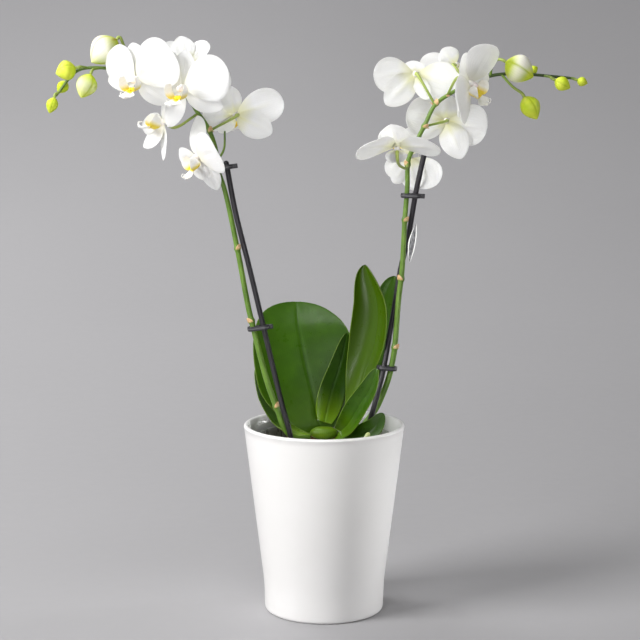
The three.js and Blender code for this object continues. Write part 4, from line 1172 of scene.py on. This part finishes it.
def closedBud(name, bud, seed):
    foot, tip = np.array(bud["route"][-1], float), np.array(bud["tip"], float)
    ahead = unit(tip - foot)
    foot = foot + ahead * 0.1
    length = np.linalg.norm(tip - foot)
    side = unit(np.cross(ahead, [0, 0, 1.0]))
    up = np.cross(side, ahead)
    s = (0.5 - 0.5 * np.cos(np.pi * np.linspace(0.02, 0.98, budMake["rows"])))[:, None]
    turn = circle(budMake["around"])[None, :]
    # an egg fullest past its middle, three-sided, with a crease where each pair of sepals meets
    away = [np.angle(np.exp(1j * (turn - seed - k * 2 * np.pi / 3))) for k in range(3)]
    seams = sum(np.exp(-(angle / 0.09) ** 2) for angle in away)
    full = bud["width"] / 2 * np.sin(np.pi * s ** 0.85) ** 0.8
    r = full * (1 + budMake["crease"] * np.cos(3 * (turn - seed) + np.pi) * np.sin(np.pi * s))
    r = np.maximum(r - budMake["crease"] * bud["width"] * seams * np.sin(np.pi * s) ** 0.5, 0.25)
    centre = foot + ahead * (length * s)
    rings = centre[:, None] + r[..., None] * (side * np.cos(turn)[..., None] + up * np.sin(turn)[..., None])
    # cream towards the tip, or round the middle where the ends stay green
    reach = mix(0.25 + 0.95 * s, 1.2 * np.sin(np.pi * s) ** 1.4, bud.get("ends", 0))
    white = np.clip(bud.get("white", 0) * (reach + 0.3 * np.cos(turn - 2.2) - 0.3 * seams), 0, 1)
    rust = bud.get("rust", 0) * np.clip(0.75 - 3.2 * s + 0.3 * np.sin(5 * turn), 0, 1)
    body = shell(rings, v=s[:, 0], white=white, seam=seams * np.sin(np.pi * s) ** 0.5, rust=rust)
    makePiece(pieceName(name), [body], [budGreen], [name])


budGreen = budMaterial()
for seed, (name, bud) in enumerate(buds.items()):
    closedBud(name, bud, seed * 1.3)
print("buds done")

# the two flower spikes

def stemMaterial():
    material, tree, shader = newMaterial("stemGreen", Specular_IOR_Level=0.4)
    lines = veins(tree, 14.0, 0.02, 0.3)
    grain = grainHeight(tree, 600.0)
    # the dark green near the top is painted shade
    shares = {
        "pale": ramp(tree, mark(tree, "pale"), 0.0, 1.0), "dusk": mark(tree, "dusk"),
        "line": times(tree, lines, 0.2), "fleck": times(tree, spots(tree, 700.0, 0.22), 0.35)}
    tone = layered(tree, drifting(tree, 60.0, *stemTones["green"]),
                   *((share, stemTones[name]) for name, share in shares.items()))
    paint(tree, shader, tone, uneven(tree, grain, 0.36, 0.5))
    bump(tree, shader, plus(tree, lines, grain), 0.15, 0.0004)
    return material


def bractMaterial():
    material, tree, shader = newMaterial("dryBract", Specular_IOR_Level=0.3)
    lines = veins(tree, 18.0, 0.03, 0.3)
    tone = layered(tree, drifting(tree, 260.0, *stemTones["bract"]),
                   (times(tree, lines, 0.35), stemTones["bractLine"]),
                   (ramp(tree, along(tree), 0.0, 0.35, 0.7, 0.0), stemTones["bractFoot"]))
    paint(tree, shader, tone, ramp(tree, lines, 0, 1, 0.55, 0.7))
    bump(tree, shader, lines, 0.3, 0.0003)
    return material


def bractShell(point, ahead, outward, radius, length, spread=1.7):
    # a scale that wraps round the stem: an arc about the stem's axis that narrows to a point
    outward = unit(outward - ahead * np.dot(outward, ahead))
    beside = np.cross(ahead, outward)

    def surface(s, t):
        turn = spread * t * (1 - s ** 1.6) ** 0.6
        r = radius + 0.3 + 0.5 * s ** 1.5
        return (point + ahead * (length * (s - 0.25))[..., None]
                + (r * np.cos(turn))[..., None] * outward + (r * np.sin(turn))[..., None] * beside)

    return blade(surface, 18, 18, 0.55, material=1, edge=0.6)


def flowerSpike(name):
    spike = spikes[name]
    side = name.split("_")[1]
    curve = smoothCurve(spike["rachis"])
    joints = np.array([atHeight(spike["rachis"], height)[2] for height in spike["joints"]])

    def slim(s, turn):
        # thinner towards the tip, with a swelling at every joint
        swell = sum(np.exp(-((s - joint) * curve.length / 1.9) ** 2) for joint in joints)
        return mix(stemSize["foot"], stemSize["tip"], s ** 1.6) + stemSize["swelling"] * swell + 0 * turn

    def stalk(route, rows, around, swell, power, pale):
        # a thin stalk that thickens towards the piece that it carries
        def radius(s, turn):
            return stemSize["pedicel"] * (1 + swell * s ** power) + 0 * turn

        return shoot(route, radius, rows, around, pale=pale)

    # the top of the main stem is painted darker: painted shade among the blooms
    parts = [shoot(curve, slim, stemSize["rows"], stemSize["around"], pale=lambda s: 0.25 * s,
                   dusk=lambda s: spike["dusk"] * np.clip((s - 0.78) / 0.06, 0, 1))]
    for number, joint in enumerate(joints):
        outward = np.array([(-1) ** number * 1.0, -0.8, 0])
        radius = mix(stemSize["foot"], stemSize["tip"], joint ** 1.6) + 0.5
        parts.append(bractShell(curve(joint), heading(curve, joint), outward, radius, 4.6, 1.4))
    for route in spike["shoots"]:
        parts.append(stalk(route, 24, 14, -0.25, 1, 0.2))
    for bloom, pose in blooms.items():
        if side in bloom:
            back = turnTo(pose) @ np.array([0, 1.0, 0])
            reach = pose.get("size", 1) * flower["column"]["rear"] + stemSize["gap"] - 0.5
            rear = np.array(pose["at"], float) + back * reach
            route = [pose["joins"], *pose.get("bend", []), (rear + back * 8).tolist(), rear.tolist()]
            parts.append(stalk(route, 50, 16, 0.45, 3, lambda s: 0.3 + 0.7 * s))
            foot = smoothCurve(route)
            down = np.array([0, 0, -1.0])
            parts.append(bractShell(foot(0.04), heading(foot, 0.04), down, stemSize["pedicel"] + 0.5, 3.4, 1.1))
    for key, bud in buds.items():
        if side in key:
            foot, tip = np.array(bud["route"][-1], float), np.array(bud["tip"], float)
            ahead = unit(tip - foot)
            route = [*bud["route"][:-1], (foot - 3 * ahead).tolist(), (foot + 0.6 * ahead).tolist()]
            parts.append(stalk(route, 30, 14, 0.3, 3, lambda s: 0.2 + 0.5 * s))
    makePiece("flowerSpike" + side.title(), parts, [stemGreen, dryBract], [name])


stemGreen = stemMaterial()
dryBract = bractMaterial()
for name in spikes:
    flowerSpike(name)
print("flower spikes done")

# floor and light

studio = {"flat": 0.9, "bend": 4.0, "rise": 78, "around": 96, "tones": ("abaaac", "aeadaf"),
          "roomLight": 0.06, "spotBlend": 0.6}


def backdropMaterial():
    material, tree, shader = newMaterial("paleBackdrop", Specular_IOR_Level=0.15)
    paint(tree, shader, drifting(tree, 0.7, *studio["tones"]), uneven(tree, grainHeight(tree, 60.0), 0.7, 0.8))
    return material


def studioFloor():
    # a round floor that sweeps up all round in one wide arc
    around = studio["around"]
    bend = np.radians(np.linspace(0, studio["rise"], 40))
    r = np.concatenate([[0.02, 0.3, 0.6], studio["flat"] + studio["bend"] * np.sin(bend)])
    z = np.concatenate([[0, 0, 0], studio["bend"] * (1 - np.cos(bend))])
    turn = circle(around)
    rings = np.stack([r[:, None] * np.cos(turn), r[:, None] * np.sin(turn), z[:, None] + 0 * turn], axis=-1)
    i, j = (k.ravel() for k in np.meshgrid(np.arange(len(r) - 1), np.arange(around), indexing="ij"))
    beside = (j + 1) % around
    below, above = i * around, (i + 1) * around
    quads = np.stack([below + beside, above + beside, above + j, below + j], axis=1)
    mesh = bpy.data.meshes.new("studioFloor")
    mesh.from_pydata(rings.reshape(-1, 3).tolist(), [], [list(range(around))] + quads.tolist())
    mesh.polygons.foreach_set("use_smooth", np.ones(len(mesh.polygons), bool))
    mesh.materials.append(backdropMaterial())
    floor = bpy.data.objects.new("studioFloor", mesh)
    bpy.context.scene.collection.objects.link(floor)


lamps = {
    "keyLeft": {"place": (-1.9, -0.95, 1.45), "aim": (0, 0, 0.25), "size": 1.1, "power": 65,
                "tone": (1, 0.995, 0.99)},
    "frontFill": {"place": (-0.3, -2.2, 1.6), "aim": (0, 0, 0.25), "size": 1.6, "power": 13},
    "rimRight": {"place": (1.5, 0.5, 0.2), "aim": (0.06, 0, 0.1), "size": 0.3, "power": 84, "cone": 14},
    "potFront": {"place": (0.7, -1.6, 0.17), "aim": (0.02, -0.04, 0.1), "size": 0.4, "power": 42, "cone": 11},
    "sprayLeft": {"place": (-0.1, -1.6, 0.3), "aim": (-0.14, 0, 0.44), "size": 0.5, "power": 52, "cone": 13},
    "sprayRight": {"place": (0.3, -1.6, 0.3), "aim": (0.1, 0, 0.44), "size": 0.5, "power": 40, "cone": 13},
    "overhead": {"place": (0, -0.5, 1.95), "aim": (0, 0, 0.2), "size": 0.5, "power": 4.5},
    "backLight": {"place": (-0.9, 1.0, 2.3), "aim": (-0.3, 3.0, 0.4), "size": 1.4, "power": 51},
}


def studioLamps():
    # a lamp with a cone is a soft spot, and the others are square panels
    for name, lamp in lamps.items():
        data = bpy.data.lights.new(name, "SPOT" if "cone" in lamp else "AREA")
        if "cone" in lamp:
            data.spot_size = math.radians(lamp["cone"])
            data.spot_blend = studio["spotBlend"]
            data.shadow_soft_size = lamp["size"] / 2
        else:
            data.size = lamp["size"]
        data.energy = lamp["power"]
        data.color = lamp.get("tone", (1, 1, 1))
        light = bpy.data.objects.new(name, data)
        light.location = lamp["place"]
        way = np.array(lamp["aim"]) - np.array(lamp["place"])
        light.rotation_euler = (math.acos(-way[2] / np.linalg.norm(way)), 0, math.atan2(-way[0], way[1]))
        bpy.context.scene.collection.objects.link(light)
    world = bpy.data.worlds.new("softRoom")
    world.use_nodes = True
    world.node_tree.nodes["Background"].inputs["Color"].default_value = (1, 1, 1, 1)
    world.node_tree.nodes["Background"].inputs["Strength"].default_value = studio["roomLight"]
    bpy.context.scene.world = world


studioFloor()
studioLamps()
print("floor and lamps done")
